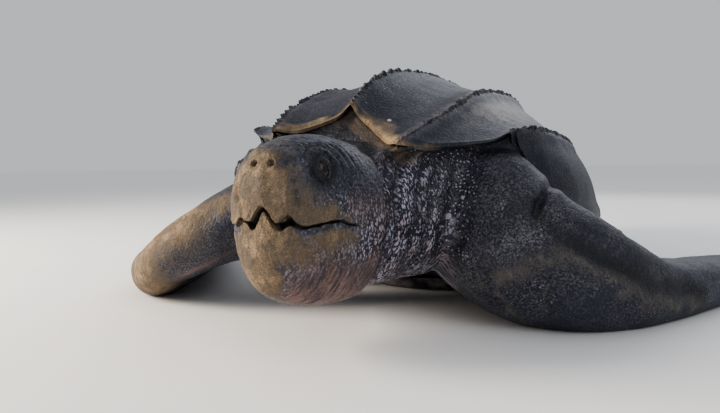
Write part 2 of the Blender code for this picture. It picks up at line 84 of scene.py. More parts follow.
# Half width and height of the four keels of one side, a row each from the median one out to the
# margin, at stations from the front edge (0) to the tip (1).
STATIONS = np.array([0.0, 0.08, 0.2, 0.4, 0.6, 0.8, 0.93, 1.0])
KEEL_X = np.array([
    [0.000, 0.000, 0.000, 0.000, 0.000, 0.000, 0.000, 0.000],
    [0.115, 0.148, 0.165, 0.169, 0.152, 0.104, 0.048, 0.010],
    [0.262, 0.288, 0.306, 0.312, 0.278, 0.184, 0.084, 0.018],
    [0.296, 0.334, 0.378, 0.394, 0.352, 0.228, 0.104, 0.024],
])
KEEL_Z = np.array([
    [0.396, 0.450, 0.486, 0.500, 0.490, 0.430, 0.345, 0.276],
    [0.334, 0.386, 0.440, 0.458, 0.438, 0.384, 0.320, 0.269],
    [0.350, 0.358, 0.356, 0.346, 0.332, 0.306, 0.282, 0.261],
    [0.240, 0.222, 0.186, 0.162, 0.172, 0.205, 0.234, 0.252],
])
FRONT_LEAD = np.array([-0.020, 0.055, -0.120, -0.200])
FRONT_SCALLOP = 0.020
FRONT_FADE = 0.40
FRONT_SAG = 0.010
SAG_FADE = 0.45
CORE_Z = 0.12
CORE_LEAN = 0.15

BELLY_STATIONS = np.array([0.0, 0.09, 0.2, 0.80, 0.9, 1.0])
BELLY_LEVEL = np.array([0.190, 0.120, 0.031, 0.031, 0.095, 0.205])
BELLY_WIDTH = 0.62
FLANK_POWER = 0.5
FLANK_SWELL = 0.012
# The trunk closes in front towards a point inside the neck.
TRUNK_HEART = np.array([0.0, -0.70, 0.27])
TRUNK_CLOSING = (0.15, 0.4, 0.7, 0.9)

# Sections from the trunk to the snout: place, half width, level of the widest line, top, bottom.
NECK_AND_HEAD = np.array([
    [-0.460, 0.232, 0.225, 0.406, 0.070],
    [-0.560, 0.232, 0.225, 0.406, 0.070],
    [-0.640, 0.217, 0.222, 0.396, 0.070],
    [-0.710, 0.181, 0.212, 0.366, 0.072],
    [-0.770, 0.148, 0.204, 0.334, 0.076],
    [-0.815, 0.121, 0.198, 0.318, 0.080],
    [-0.842, 0.106, 0.195, 0.314, 0.086],
    [-0.865, 0.115, 0.190, 0.323, 0.078],
    [-0.890, 0.120, 0.190, 0.328, 0.073],
    [-0.915, 0.118, 0.194, 0.329, 0.072],
    [-0.950, 0.103, 0.202, 0.326, 0.077],
    [-0.985, 0.084, 0.212, 0.319, 0.088],
    [-1.012, 0.067, 0.220, 0.310, 0.104],
    [-1.030, 0.050, 0.226, 0.301, 0.124],
    [-1.040, 0.034, 0.230, 0.292, 0.146],
    [-1.046, 0.012, 0.232, 0.262, 0.200],
])
ROUNDNESS = 2.25
EYE_CENTRE = np.array([0.0525, -0.9825, 0.2740])
EYE_RADIUS = 0.021
LID_THICK = 0.0020
# The lids are drawn onto the ball between these distances from the eye's axis, and the skin sinks
# towards it between the others.
LID_DRAWN = (0.037, 0.022)
LID_SINK = 0.0065
LID_SUNK = (0.026, 0.014)
LID_RIM = 0.0014
SOCKET_DEPTH = 0.004
# Skin this near the eye's axis, and no deeper than this, takes its folds.
BROW_REACH = 0.080
BROW_BACK = -0.012
LID_SLANT = math.radians(24)
LID_HALF_HEIGHT = 0.0100
LID_HALF_WIDTH = 0.0054
NOSTRIL_CENTRE = np.array([0.0135, -1.037, 0.287])
# A groove above the beak's outer notch, and a pit beside it.
NOTCH_GROOVE = ((0.037, -1.037, 0.218), (0.044, -1.033, 0.240), (0.046, -1.030, 0.266))
NOTCH_PIT = np.array([0.050, -1.030, 0.236])
MOUTH_X = np.array([0.0, 0.010, 0.0225, 0.031, 0.038, 0.054, 0.070, 0.084, 0.098])
UPPER_EDGE_Z = np.array([0.231, 0.221, 0.207, 0.214, 0.218, 0.202, 0.205, 0.2085, 0.200])
LOWER_EDGE_Z = np.array([0.227, 0.209, 0.1965, 0.200, 0.204, 0.199, 0.2025, 0.2065, 0.1985])
MOUTH_CORNER_Y = -0.945

# A row for each station along a limb: x, y, z of the centre line, reach towards the leading
# edge, reach towards the trailing edge, half thickness, tilt of the chord (leading edge down)
# in degrees, and how much thicker the leading half is.
ARM_LEFT = np.array([
    [0.100, -0.440, 0.200, 0.130, 0.120, 0.125, 0, 0.0],
    [0.182, -0.568, 0.176, 0.130, 0.120, 0.132, 0, 0.0],
    [0.262, -0.626, 0.149, 0.126, 0.112, 0.151, 6, 0.0],
    [0.340, -0.618, 0.108, 0.114, 0.104, 0.120, 11, 0.05],
    [0.406, -0.566, 0.072, 0.100, 0.116, 0.092, 13, 0.15],
    [0.464, -0.484, 0.050, 0.092, 0.142, 0.062, 10, 0.25],
    [0.544, -0.356, 0.041, 0.086, 0.158, 0.045, 6, 0.35],
    [0.630, -0.214, 0.032, 0.078, 0.150, 0.034, 6, 0.35],
    [0.720, -0.068, 0.026, 0.066, 0.126, 0.026, 7, 0.35],
    [0.804, 0.074, 0.020, 0.048, 0.092, 0.019, 8, 0.3],
    [0.866, 0.186, 0.015, 0.030, 0.056, 0.012, 8, 0.2],
    [0.898, 0.248, 0.011, 0.008, 0.016, 0.005, 8, 0.0],
])
ARM_RIGHT = np.array([
    [-0.100, -0.450, 0.210, 0.130, 0.120, 0.125, 0, 0.0],
    [-0.190, -0.580, 0.202, 0.122, 0.118, 0.108, 0, 0.0],
    [-0.294, -0.676, 0.168, 0.098, 0.108, 0.080, 6, 0.0],
    [-0.396, -0.716, 0.114, 0.078, 0.102, 0.065, 12, 0.05],
    [-0.468, -0.692, 0.069, 0.066, 0.114, 0.054, 16, 0.15],
    [-0.522, -0.612, 0.050, 0.080, 0.138, 0.054, 17, 0.25],
    [-0.598, -0.472, 0.046, 0.084, 0.156, 0.045, 15, 0.35],
    [-0.680, -0.326, 0.040, 0.078, 0.150, 0.034, 14, 0.35],
    [-0.764, -0.176, 0.034, 0.066, 0.126, 0.026, 13, 0.35],
    [-0.840, -0.030, 0.027, 0.048, 0.092, 0.019, 12, 0.3],
    [-0.896, 0.086, 0.020, 0.030, 0.056, 0.012, 10, 0.2],
    [-0.924, 0.150, 0.014, 0.008, 0.016, 0.005, 8, 0.0],
])
LEG_LEFT = np.array([
    [0.115, 0.390, 0.135, 0.100, 0.095, 0.095, 0, 0.0],
    [0.175, 0.480, 0.112, 0.094, 0.092, 0.080, 0, 0.0],
    [0.228, 0.566, 0.080, 0.088, 0.092, 0.056, 6, 0.1],
    [0.268, 0.652, 0.052, 0.098, 0.104, 0.036, 8, 0.2],
    [0.298, 0.736, 0.034, 0.112, 0.114, 0.022, 7, 0.25],
    [0.318, 0.806, 0.023, 0.102, 0.100, 0.014, 5, 0.25],
    [0.330, 0.862, 0.015, 0.066, 0.062, 0.009, 3, 0.2],
    [0.336, 0.886, 0.010, 0.018, 0.018, 0.005, 0, 0.0],
])
# Turns a left limb's table into a right one's.
MIRROR = np.array([-1, 1, 1, 1, 1, 1, 1, 1])
TAIL = np.array([
    [0.0, 0.480, 0.140, 0.095, 0.095, 0.088, 0, 0.0],
    [0.0, 0.580, 0.118, 0.074, 0.074, 0.074, 0, 0.0],
    [0.0, 0.680, 0.086, 0.050, 0.050, 0.054, 0, 0.0],
    [0.0, 0.760, 0.058, 0.034, 0.034, 0.037, 0, 0.0],
    [0.0, 0.830, 0.035, 0.020, 0.020, 0.023, 0, 0.0],
    [0.0, 0.868, 0.022, 0.007, 0.007, 0.008, 0, 0.0],
])
FLESH = ("trunk", "neck", "head", "lower_jaw", "shoulder_left", "shoulder_right",
         "front_flipper_left", "front_flipper_right", "rear_flipper_left",
         "rear_flipper_right", "tail")

# ---- folds and marks
# Folds of the brow and, further out, behind the eye: height, distance from its middle, half width.
BROW_FOLDS = ((0.0056, 0.0265, 0.0060), (-0.0036, 0.0355, 0.0028), (0.0036, 0.0430, 0.0050))
CORNER_FOLDS = ((-0.0030, 0.0510, 0.0030), (0.0024, 0.0580, 0.0045), (-0.0018, 0.0660, 0.0030))
# Folds round the neck: how far behind the one at the back of the head, depth and half width.
NECK_FOLDS = (
    (0.000, 0.0150, 0.0095), (0.034, 0.0025, 0.0060), (0.054, 0.0045, 0.0070),
    (0.090, 0.0030, 0.0065), (0.112, 0.0045, 0.0080), (0.150, 0.0035, 0.0080), (0.186, 0.0035, 0.0090),
)
REAR_FOLD_Z = (0.080, 0.172, 0.237, 0.289, 0.324)
REAR_FOLD_Y = (-0.875, -0.893, -0.878, -0.838, -0.775)
ELBOW_CREASE = ((0.336, -0.734, 0.110), (0.331, -0.725, 0.072), (0.323, -0.707, 0.038))
ARMPIT_CREASE = ((0.185, -0.712, 0.160), (0.205, -0.722, 0.120), (0.236, -0.722, 0.085))
# Creases on the left arm: a path, half width, depth and height of the raised lips beside it.
ARM_CREASES = (
    (((0.323, -0.656, 0.242), (0.316, -0.696, 0.229), (0.310, -0.716, 0.214), (0.306, -0.726, 0.197),
      (0.303, -0.732, 0.180)), 0.0080, 0.0150, 0.40),
    (((0.318, -0.560, 0.238), (0.326, -0.620, 0.245), (0.322, -0.660, 0.240)), 0.0090, 0.0090, 0.20),
    (((0.308, -0.724, 0.200), (0.345, -0.725, 0.168), (0.389, -0.708, 0.140), (0.424, -0.688, 0.118),
      (0.477, -0.632, 0.084), (0.561, -0.493, 0.051)), 0.0170, 0.0085, 0.35),
    (ELBOW_CREASE, 0.0035, 0.0030, 0.50),
    (ARMPIT_CREASE, 0.0060, 0.0050, 0.40),
)
# Where sand on the head ends: upper edge by distance from the middle, lower edge on the jaw by x.
SAND_TOP_X = (0.0, 0.030, 0.049, 0.064, 0.078, 0.095)
SAND_TOP_Z = (0.305, 0.301, 0.272, 0.250, 0.229, 0.214)
SAND_LOW_X = (-0.12, -0.02, 0.012, 0.035, 0.095)
SAND_LOW_Z = (0.130, 0.095, 0.110, 0.152, 0.165)
# Bare places in it: centre and radii.
SAND_BARE = (
    ((0.029, -1.030, 0.288), (0.013, 0.020, 0.010)),
    ((0.047, -1.030, 0.243), (0.006, 0.020, 0.014)),
    ((0.041, -1.030, 0.264), (0.006, 0.020, 0.008)),
    ((0.022, -1.036, 0.147), (0.011, 0.020, 0.010)),
)
# Dust, sand, pale mottling and pink skin along paths: the path, half width and strength.
DUST_PATHS = (
    (((0.232, -0.727, 0.090), (0.263, -0.741, 0.106), (0.290, -0.741, 0.116), (0.351, -0.732, 0.136),
      (0.395, -0.708, 0.126), (0.433, -0.682, 0.095), (0.470, -0.640, 0.062), (0.562, -0.492, 0.030)),
     0.022, 0.80),
    (((0.230, -0.727, 0.086), (0.249, -0.728, 0.070), (0.265, -0.706, 0.037), (0.281, -0.681, 0.015),
      (0.314, -0.675, 0.008)), 0.012, 0.85),
    (ELBOW_CREASE, 0.005, 0.80),
    (((-0.070, -0.730, 0.360), (-0.020, -0.720, 0.360), (0.024, -0.755, 0.345), (0.065, -0.775, 0.322),
      (0.095, -0.785, 0.300)), 0.032, 0.60),
)
SAND_PATHS = (
    (((-0.050, -0.735, 0.358), (0.000, -0.735, 0.352), (0.024, -0.755, 0.345), (0.065, -0.775, 0.322),
      (0.100, -0.785, 0.298)), 0.026, 0.50),
    (((-0.360, -0.758, 0.180), (-0.410, -0.758, 0.160), (-0.444, -0.750, 0.128), (-0.458, -0.769, 0.090),
      (-0.475, -0.740, 0.040)), 0.058, 1.10),
    (((-0.250, -0.735, 0.218), (-0.300, -0.745, 0.208), (-0.360, -0.750, 0.192)), 0.030, 0.60),
)
MOTTLE_PATHS = (
    (((0.256, -0.747, 0.144), (0.279, -0.742, 0.160), (0.301, -0.737, 0.173), (0.337, -0.722, 0.184)),
     0.034, 1.0),
    (((0.167, -0.714, 0.271), (0.220, -0.665, 0.287), (0.252, -0.675, 0.283), (0.282, -0.667, 0.270),
      (0.323, -0.656, 0.242)), 0.016, 0.8),
    (((0.335, -0.640, 0.235), (0.400, -0.640, 0.185), (0.470, -0.560, 0.120), (0.560, -0.420, 0.075),
      (0.640, -0.300, 0.060)), 0.030, 0.8),
)
PINK_PATHS = (
    (((-0.240, -0.745, 0.118), (-0.290, -0.756, 0.098), (-0.340, -0.762, 0.076), (-0.390, -0.760, 0.050)),
     0.008, 0.85),
    (ARMPIT_CREASE, 0.008, 0.40),
    (((0.098, -0.955, 0.220), (0.106, -0.930, 0.228), (0.112, -0.905, 0.215)), 0.020, 0.45),
)
# Bright blotches on the left shoulder: centre and radius.
WHITE_MARKS = (
    ((0.192, -0.711, 0.227), 0.0048), ((0.169, -0.728, 0.196), 0.0044), ((0.160, -0.743, 0.179), 0.0028),
)

# Knobs on the keels at the front edge and at the tip.
KNOB_SPACING = (0.0130, 0.0240)
KNOB_HEIGHT = (0.0085, 0.0045)
KNOB_ACROSS = 0.0075
MARGIN_KNOBS = 0.35
# Each keel is sunk a little, so that its knobs don't rise above the CAD's ridge.
KEEL_SINK = 0.0050
KEEL_SINK_WIDTH = 0.012
RIM_ROUND = 0.0035
RIM_THINNING = 0.45
SHARP_EDGE = math.radians(60)
# How much sand lies on the front edge, by lane.
RIM_SAND_LANE = (-3, -1.2, -0.8, 0, 0.15, 0.85, 1.0, 1.3, 3)
RIM_SAND_SHARE = (0.2, 0.4, 0.75, 0.60, 1.1, 1.3, 0.9, 0.2, 0.0)

# ---- fineness
VOXEL = 0.0035
# Rounds of smoothing: the whole skin, its seams, and the head after each refinement.
SKIN_ROUNDS = 8
SEAM_ROUNDS = 30
HEAD_ROUNDS = (3, 2)
# Where the skin is refined: the head and neck, and again round the eyes, nostrils and mouth.
FINE_Y = -0.70
FINE_HALF_WIDTH = 0.19
FINE_EYE = 0.042
FINE_NOSTRIL = 0.014
FINE_MOUTH = 0.008
EYE_SEGMENTS = (48, 32)
TRUNK_ROWS = 90
TRUNK_COLUMNS = 97
HEAD_RINGS = 150
HEAD_SIDES = 120
SHELL_ROWS = 640
LANE_STEPS = 36


# ==== curves and noise

# One-sized noise is turned out of line with the body's axes.
TURN = np.array(Matrix.Rotation(0.9, 3, (1.0, 2.0, 3.0)))


def smooth_curve(knots, values, places):
    """Values at the places, on a smooth curve through the values at the knots."""
    knots = np.asarray(knots, float)
    values = np.asarray(values, float)
    if knots[0] > knots[-1]:
        knots, values = knots[::-1], values[::-1]
    table = values.reshape(len(knots), -1)
    slope = np.diff(table, axis=0) / np.diff(knots)[:, None]
    limit = 2.5 * np.minimum(abs(slope[:-1]), abs(slope[1:]))
    inner = np.clip(0.5 * (slope[:-1] + slope[1:]), -limit, limit)
    inner = np.where(slope[:-1] * slope[1:] > 0, inner, 0.0)
    tangent = np.vstack([slope[:1], inner, slope[-1:]])
    places = np.clip(np.asarray(places, float), knots[0], knots[-1])
    i = np.clip(np.searchsorted(knots, places, side="right") - 1, 0, len(knots) - 2)
    width = np.diff(knots)[i]
    u = ((places - knots[i]) / width)[:, None]
    width = width[:, None]
    result = (
        table[i] * (1 + 2 * u) * (1 - u) ** 2
        + tangent[i] * width * u * (1 - u) ** 2
        + table[i + 1] * u * u * (3 - 2 * u)
        - tangent[i + 1] * width * u * u * (1 - u)
    )
    return result.reshape((len(places),) + values.shape[1:])


def signed_power(value, power):
    return np.sign(value) * np.abs(value) ** power


def ramp(low, high, value):
    """Smoothly from 0 at low to 1 at high; low may be the larger."""
    u = np.clip((value - low) / (high - low), 0.0, 1.0)
    return u * u * (3 - 2 * u)


def bell(value, width):
    return np.exp(-((value / width) ** 2))


def lattice(cell, seed):
    """A fixed scattered value from 0 to 1 for each whole-numbered cell."""
    n = cell[..., 0] * 73856093 ^ cell[..., 1] * 19349663 ^ cell[..., 2] * 83492791
    n = (n + seed * 40503) & 0x7FFFFFFF
    n = ((n ^ (n >> 13)) * 1274126177) & 0x7FFFFFFF
    n = ((n ^ (n >> 15)) * 668265263) & 0x7FFFFFFF
    return ((n >> 7) & 0xFFFF) / 65535.0


def noise(points, size, seed):
    """Smooth noise from -1 to 1 whose features have the given size, one or one per axis."""
    place = points / np.asarray(size) if np.ndim(size) else points @ TURN / size
    base = np.floor(place).astype(np.int64)
    f = place - base
    f = f * f * (3 - 2 * f)
    total = np.zeros(len(points))
    for corner in np.ndindex(2, 2, 2):
        weight = np.prod(np.where(corner, f, 1 - f), axis=1)
        total += weight * lattice(base + np.array(corner), seed)
    return 2 * total - 1


def crease(points, size, seed):
    """Thin valleys of noise: 0 on the flats and 1 along the valley lines."""
    return np.exp(-6 * np.abs(noise(points, size, seed)))


# ==== shell form

def keel_table(t):
    """Half width and height of the four keel lines of one side at the places t."""
    return smooth_curve(STATIONS, KEEL_X.T, t), smooth_curve(STATIONS, KEEL_Z.T, t)


def shell_points(t, lane, depth):
    """The shell's surface at rows t and lanes from -3 to 3, moved in towards the body's core."""
    side = np.where(lane < 0, -1.0, 1.0)
    low = np.clip(np.floor(abs(lane)).astype(int), 0, 2)
    f = abs(lane) - low
    keel_x, keel_z = keel_table(t)
    x = keel_x[:, low] * (1 - f) + keel_x[:, low + 1] * f
    z = keel_z[:, low] * (1 - f) + keel_z[:, low + 1] * f
    run_x = keel_x[:, low + 1] - keel_x[:, low]
    run_z = keel_z[:, low + 1] - keel_z[:, low]
    run = np.hypot(run_x, run_z) + 1e-9
    ridge = np.exp(-((np.minimum(f, 1 - f) / KEEL_WIDTH) ** 2))
    bow = 4 * f * (1 - f)
    relief = KEEL_HEIGHT * (ridge - 1) - FLUTE_DEPTH * bow
    lift = relief * np.clip((1 - t) / 0.25, 0, 1)[:, None] + FLUTE_BOW[low] * run * bow
    x = x - run_z / run * lift
    z = z + run_x / run * lift
    fade = np.clip(1 - t / FRONT_FADE, 0, 1)[:, None] ** 2
    sag = FRONT_SAG * side * np.interp(abs(lane), np.arange(4), [0, 1, 0, 0])
    z = z - sag * np.clip(1 - t / SAG_FADE, 0, 1)[:, None]
    lead = np.interp(abs(lane), np.arange(4), FRONT_LEAD) - FRONT_SCALLOP * bow
    y = SHELL_FRONT + SHELL_LENGTH * t[:, None] - lead * fade
    points = np.stack([side * x, y, z], axis=-1)
    core = np.stack([side * 0.5 * keel_x[:, 1:2], y + CORE_LEAN * fade, CORE_Z + 0 * z], axis=-1)
    inward = core - points
    inward /= np.linalg.norm(inward, axis=-1, keepdims=True)
    return points + inward * depth


def rolled(points):
    """Points after the body's lean to its left."""
    c, s = math.cos(BODY_ROLL), math.sin(BODY_ROLL)
    x, y, z = points[..., 0], points[..., 1], points[..., 2] - ROLL_CENTRE_Z
    return np.stack([x * c + z * s, y, ROLL_CENTRE_Z + z * c - x * s], axis=-1)


def shell_thickness(t):
    front = 1 - 0.4 * np.clip(1 - t / 0.1, 0, 1) ** 2
    return (SHELL_THICK * front * (1 - 0.65 * t ** 4))[:, None, None]


# ==== flesh forms

def loft(sections):
    """Points and faces through closed sections, an array of rings x sides x 3, capped."""
    rings, sides = sections.shape[:2]
    start = (np.arange(rings - 1) * sides)[:, None]
    here = np.arange(sides)[None]
    there = (here + 1) % sides
    quads = np.stack([start + here, start + there, start + sides + there, start + sides + here], -1)
    faces = [tuple(q) for q in quads.reshape(-1, 4).tolist()]
    faces.append(tuple(range(sides))[::-1])
    faces.append(tuple(range((rings - 1) * sides, rings * sides)))
    return sections.reshape(-1, 3), faces


def flank(edge, level, steps=14):
    """Points down one flank, from the shell's margin to the flat of the belly."""
    angle = np.linspace(0, math.pi / 2, steps + 1)[1:]
    rise = max(edge[2] - level, 0.02)
    swell = FLANK_SWELL * np.sin(2 * angle) * np.sign(edge[0])
    x = edge[0] * (BELLY_WIDTH + (1 - BELLY_WIDTH) * np.cos(angle) ** FLANK_POWER) + swell
    return np.stack([x, 0 * x + edge[1], level + rise * (1 - np.sin(angle) ** 1.1)], axis=-1)


def trunk_form():
    """The body inside the shell. Its back lies in the middle of the shell's thickness."""
    t = np.linspace(0, 1, TRUNK_ROWS) ** 1.2
    lane = np.linspace(-3, 3, TRUNK_COLUMNS)
    back = rolled(shell_points(t, lane, 0.6 * shell_thickness(t)))
    inner = rolled(shell_points(t, lane, shell_thickness(t)))
    levels = smooth_curve(BELLY_STATIONS, BELLY_LEVEL, t)
    rings = []
    for row, edge, level in zip(back, inner, levels):
        left, right = flank(edge[-1], level), flank(edge[0], level)[::-1]
        share = np.linspace(0, 1, 13)[1:-1, None]
        belly = left[-1] * (1 - share) + right[0] * share
        rings.append(np.vstack([row, left, belly, right]))
    rings = np.array(rings)
    closing = [TRUNK_HEART + (rings[0] - TRUNK_HEART) * share for share in TRUNK_CLOSING]
    return np.concatenate([closing, rings])


def neck_and_head_form():
    """Rounded sections from inside the trunk to the snout."""
    y = NECK_AND_HEAD[:, 0]
    share = np.linspace(0, 1, HEAD_RINGS)
    places = y[0] + (y[-1] - y[0]) * (1 - (1 - share) ** 1.6)
    angle = np.linspace(0, 2 * math.pi, HEAD_SIDES, endpoint=False)
    c = signed_power(np.cos(angle), 2 / ROUNDNESS)
    s = signed_power(np.sin(angle), 2 / ROUNDNESS)
    sections = smooth_curve(y, NECK_AND_HEAD[:, 1:], places)
    rings = []
    for place, (width, level, top, bottom) in zip(places, sections):
        height = np.where(s > 0, top - level, level - bottom)
        rings.append(np.stack([width * c, 0 * c + place, level + height * s], axis=-1))
    return np.array(rings)


def limb_form(table, side, rings=90, sides=56):
    """Upright sections across a limb, flat where they meet the floor."""
    steps = np.linalg.norm(np.diff(table[:, :3], axis=0), axis=1)
    reach = np.concatenate([[0.0], np.cumsum(steps)])
    rows = smooth_curve(reach, table, np.linspace(0.0, reach[-1], rings))
    run = np.gradient(rows[:, :2], axis=0)
    run /= np.linalg.norm(run, axis=1, keepdims=True)
    ahead = side * np.column_stack([run[:, 1], -run[:, 0], np.zeros(rings)])
    up = np.array([0.0, 0.0, 1.0])
    angle = np.linspace(0, 2 * math.pi, sides, endpoint=False)
    sections = []
    for row, front in zip(rows, ahead):
        lead, trail, thick, tilt, fuller = row[3:]
        turn = math.radians(tilt)
        chord = front * math.cos(turn) - up * math.sin(turn)
        rise = up * math.cos(turn) + front * math.sin(turn)
        u = np.where(np.cos(angle) > 0, lead, trail) * np.cos(angle)
        v = thick * np.sin(angle) * (1 + fuller * np.cos(angle))
        ring = row[:3] + u[:, None] * chord + v[:, None] * rise
        ring[:, 2] = np.maximum(ring[:, 2], 0.0)
        sections.append(ring)
    return np.array(sections)


# ==== meshes

def place_object(name, data):
    obj = bpy.data.objects.new(name, data)
    bpy.context.scene.collection.objects.link(obj)
    return obj


def new_object(name, points, faces):
    mesh = bpy.data.meshes.new(name)
    mesh.from_pydata(points.tolist(), [], faces)
    return place_object(name, mesh)


def apply_modifiers(obj):
    depsgraph = bpy.context.evaluated_depsgraph_get()
    mesh = bpy.data.meshes.new_from_object(obj.evaluated_get(depsgraph))
    obj.modifiers.clear()
    obj.data = mesh


def read_rows(items, key):
    """Three numbers of each vertex, normal or face."""
    flat = np.empty(len(items) * 3, np.float32)
    items.foreach_get(key, flat)
    return flat.reshape(-1, 3).astype(float)


def read_points(mesh):
    return read_rows(mesh.vertices, "co")


def read_normals(mesh):
    return read_rows(mesh.vertex_normals, "vector")


def face_centres(mesh):
    return read_rows(mesh.polygons, "center")


def write_points(mesh, points):
    mesh.vertices.foreach_set("co", points.astype(np.float32).ravel())
    mesh.update()


def relax(mesh, weigh, rounds):
    """Evens out the surface where weigh gives its points more than zero."""
    edges = np.empty(len(mesh.edges) * 2, np.int32)
    mesh.edges.foreach_get("vertices", edges)
    a, b = edges.reshape(-1, 2).T
    count = len(mesh.vertices)
    shared = np.bincount(a, minlength=count) + np.bincount(b, minlength=count)
    points = read_points(mesh)
    share = (0.6 * weigh(points))[:, None]
    for _ in range(rounds):
        mean = np.empty_like(points)
        for axis in range(3):
            column = points[:, axis]
            total = np.bincount(a, column[b], count) + np.bincount(b, column[a], count)
            mean[:, axis] = total / np.maximum(shared, 1)
        points += (mean - points) * share
    write_points(mesh, points)


def refine(mesh, chosen):
    """Splits the chosen faces in four."""
    shape = bmesh.new()
    shape.from_mesh(mesh)
    shape.faces.ensure_lookup_table()
    edges = {e for i in np.flatnonzero(chosen) for e in shape.faces[i].edges}
    bmesh.ops.subdivide_edges(shape, edges=list(edges), cuts=1, use_grid_fill=True)
    bmesh.ops.triangulate(shape, faces=[f for f in shape.faces if len(f.verts) > 4])
    shape.to_mesh(mesh)
    shape.free()


def set_attribute(mesh, name, values):
    kind = "FLOAT_VECTOR" if values.ndim == 2 else "FLOAT"
    layer = mesh.attributes.new(name, kind, "POINT")
    layer.data.foreach_set("vector" if values.ndim == 2 else "value", values.astype(np.float32).ravel())


# ==== skin: folds and features

def head_side(p):
    """Head coordinates shared by both sides: the distance from the middle, and the rest."""
    return np.column_stack([abs(p[:, 0]), p[:, 1:]])


def near_head(p):
    """1 on the head and the middle of the neck, 0 on the arms and behind the shoulders."""
    return ramp(0.17, 0.14, abs(p[:, 0])) * ramp(-0.50, -0.60, p[:, 1])


def near_path(p, path):
    """How far each point is from a path of straight pieces, and how far along it, from 0 to 1."""
    path = np.array(path)
    lengths = np.linalg.norm(np.diff(path, axis=0), axis=1)
    gap, share, done = np.full(len(p), np.inf), np.zeros(len(p)), 0.0
    for a, b, length in zip(path[:-1], path[1:], lengths):
        u = np.clip((p - a) @ (b - a) / length ** 2, 0, 1)
        away = np.linalg.norm(p - a - u[:, None] * (b - a), axis=1)
        share = np.where(away < gap, (done + u * length) / lengths.sum(), share)
        gap = np.minimum(gap, away)
        done += length
    return gap, share


def behind_head(p):
    """How far each point is behind the fold at the back of the head."""
    wave = 0.012 * noise(p, (0.09, 0.2, 0.06), 3) + 0.005 * noise(p, 0.03, 4)
    return p[:, 1] - np.interp(p[:, 2], REAR_FOLD_Z, REAR_FOLD_Y) + wave


def on_neck(p):
    """Where the folds round the neck are, and weaker below it."""
    x, y, z = p.T
    return ramp(0.225, 0.185, abs(x)) * ramp(-0.60, -0.66, y) * (0.35 + 0.65 * ramp(0.10, 0.15, z))


def seam_weight(p):
    """Where the neck, shoulders and trunk run into each other, and the skin is drawn smooth."""
    x, y, z = p.T
    ax = abs(x)
    front = ramp(-0.86, -0.80, y) * ramp(-0.50, -0.56, y) * ramp(0.36, 0.30, ax)
    return front * np.maximum(ramp(0.16, 0.20, ax), ramp(0.30, 0.33, z))


def neck_grooves(p):
    """The folds round the neck, from 0 between them to 1 in each groove."""
    behind = behind_head(p)
    total = sum(bell(behind - place, width) for place, _, width in NECK_FOLDS)
    return np.clip(total, 0, 1) * on_neck(p)


def body_folds(p):
    """Folds wide enough for the whole skin: how far out each point moves."""
    z = p[:, 2]
    out = 0.0022 * noise(p, 0.075, 1) + 0.0014 * noise(p, 0.035, 2)
    behind = behind_head(p)
    top = 1 - 0.55 * ramp(0.29, 0.33, z)
    folds = 0.0035 * bell(behind + 0.020, 0.016)
    uneven = 0.75 + 0.6 * noise(p, 0.05, 5)
    for place, depth, width in NECK_FOLDS:
        strength = depth * (uneven if place else 1.0)
        folds -= strength * bell(behind - place, width)
        folds += 0.40 * strength * bell(behind - place - 2.0 * width, 1.3 * width)
    out += folds * on_neck(p) * top
    return out * ramp(0.0, 0.03, z)


def eye_frame(side):
    """Directions out of an eye, up along its lids and back along them."""
    outward = np.array([0.84 * side, -0.47, 0.15])
    outward /= np.linalg.norm(outward)
    up = np.array([0.0, 0.0, 1.0]) - outward * outward[2]
    up /= np.linalg.norm(up)
    back = np.cross(outward, up) * side
    if back[1] < 0:
        back = -back
    return outward, up, back


def shape_eyes(p, normal):
    """Lids drawn over each eyeball with a slanted opening, and the folds of the brow."""
    for side in (1, -1):
        centre = EYE_CENTRE * (side, 1, 1)
        outward, up, back = eye_frame(side)
        q = p - centre
        depth, high, rear = q @ outward, q @ up, q @ back
        around = np.hypot(high, rear)
        near = (around < BROW_REACH) & (depth > BROW_BACK) & (p[:, 0] * side > 0)
        # Heavy folds above and behind the lids, which wander and fade towards the snout.
        angle = np.arctan2(high, rear)
        over, behind = bell(angle - 1.25, 1.10), bell(angle - 0.35, 0.95)
        both = np.maximum(over, behind)
        reach_out = around * (1 + 0.06 * np.sin(3 * angle + 0.7)) + 0.0016 * noise(p, 0.012, 18)
        out = np.zeros(len(p))
        for folds, share in ((BROW_FOLDS, both), (CORNER_FOLDS, behind)):
            for height, distance, width in folds:
                out += height * bell(reach_out - distance, width) * share
        moved = p + normal * out[:, None]
        q = moved - centre
        reach = np.linalg.norm(q, axis=1, keepdims=True)
        opening = eye_opening(high, rear)
        # Thin folds of lid run round the opening, with a deeper one behind the upper lid.
        wander = opening + 0.18 * noise(p, 0.010, 19)
        ring = 0.0007 * np.cos((wander - 1.0) * 5.0) * ramp(4.0, 1.8, wander)
        ring *= 0.4 + 0.6 * bell(angle, 1.2)
        rim = LID_RIM * bell(wander - 1.25, 0.22)
        ring -= 0.0013 * bell(reach_out - 0.0180, 0.0022) * both
        cover = ramp(*LID_DRAWN, around)[:, None]
        sunk = reach - LID_SINK * ramp(*LID_SUNK, around)[:, None]
        target = np.maximum(sunk, EYE_RADIUS + LID_THICK + (ring + rim)[:, None])
        reach_now = reach + (target - reach) * cover
        inside = ramp(1.10, 0.75, opening)[:, None]
        reach_now = reach_now * (1 - inside) + (EYE_RADIUS - SOCKET_DEPTH) * inside
        p = np.where(near[:, None], centre + q / reach * reach_now, p)
    return p


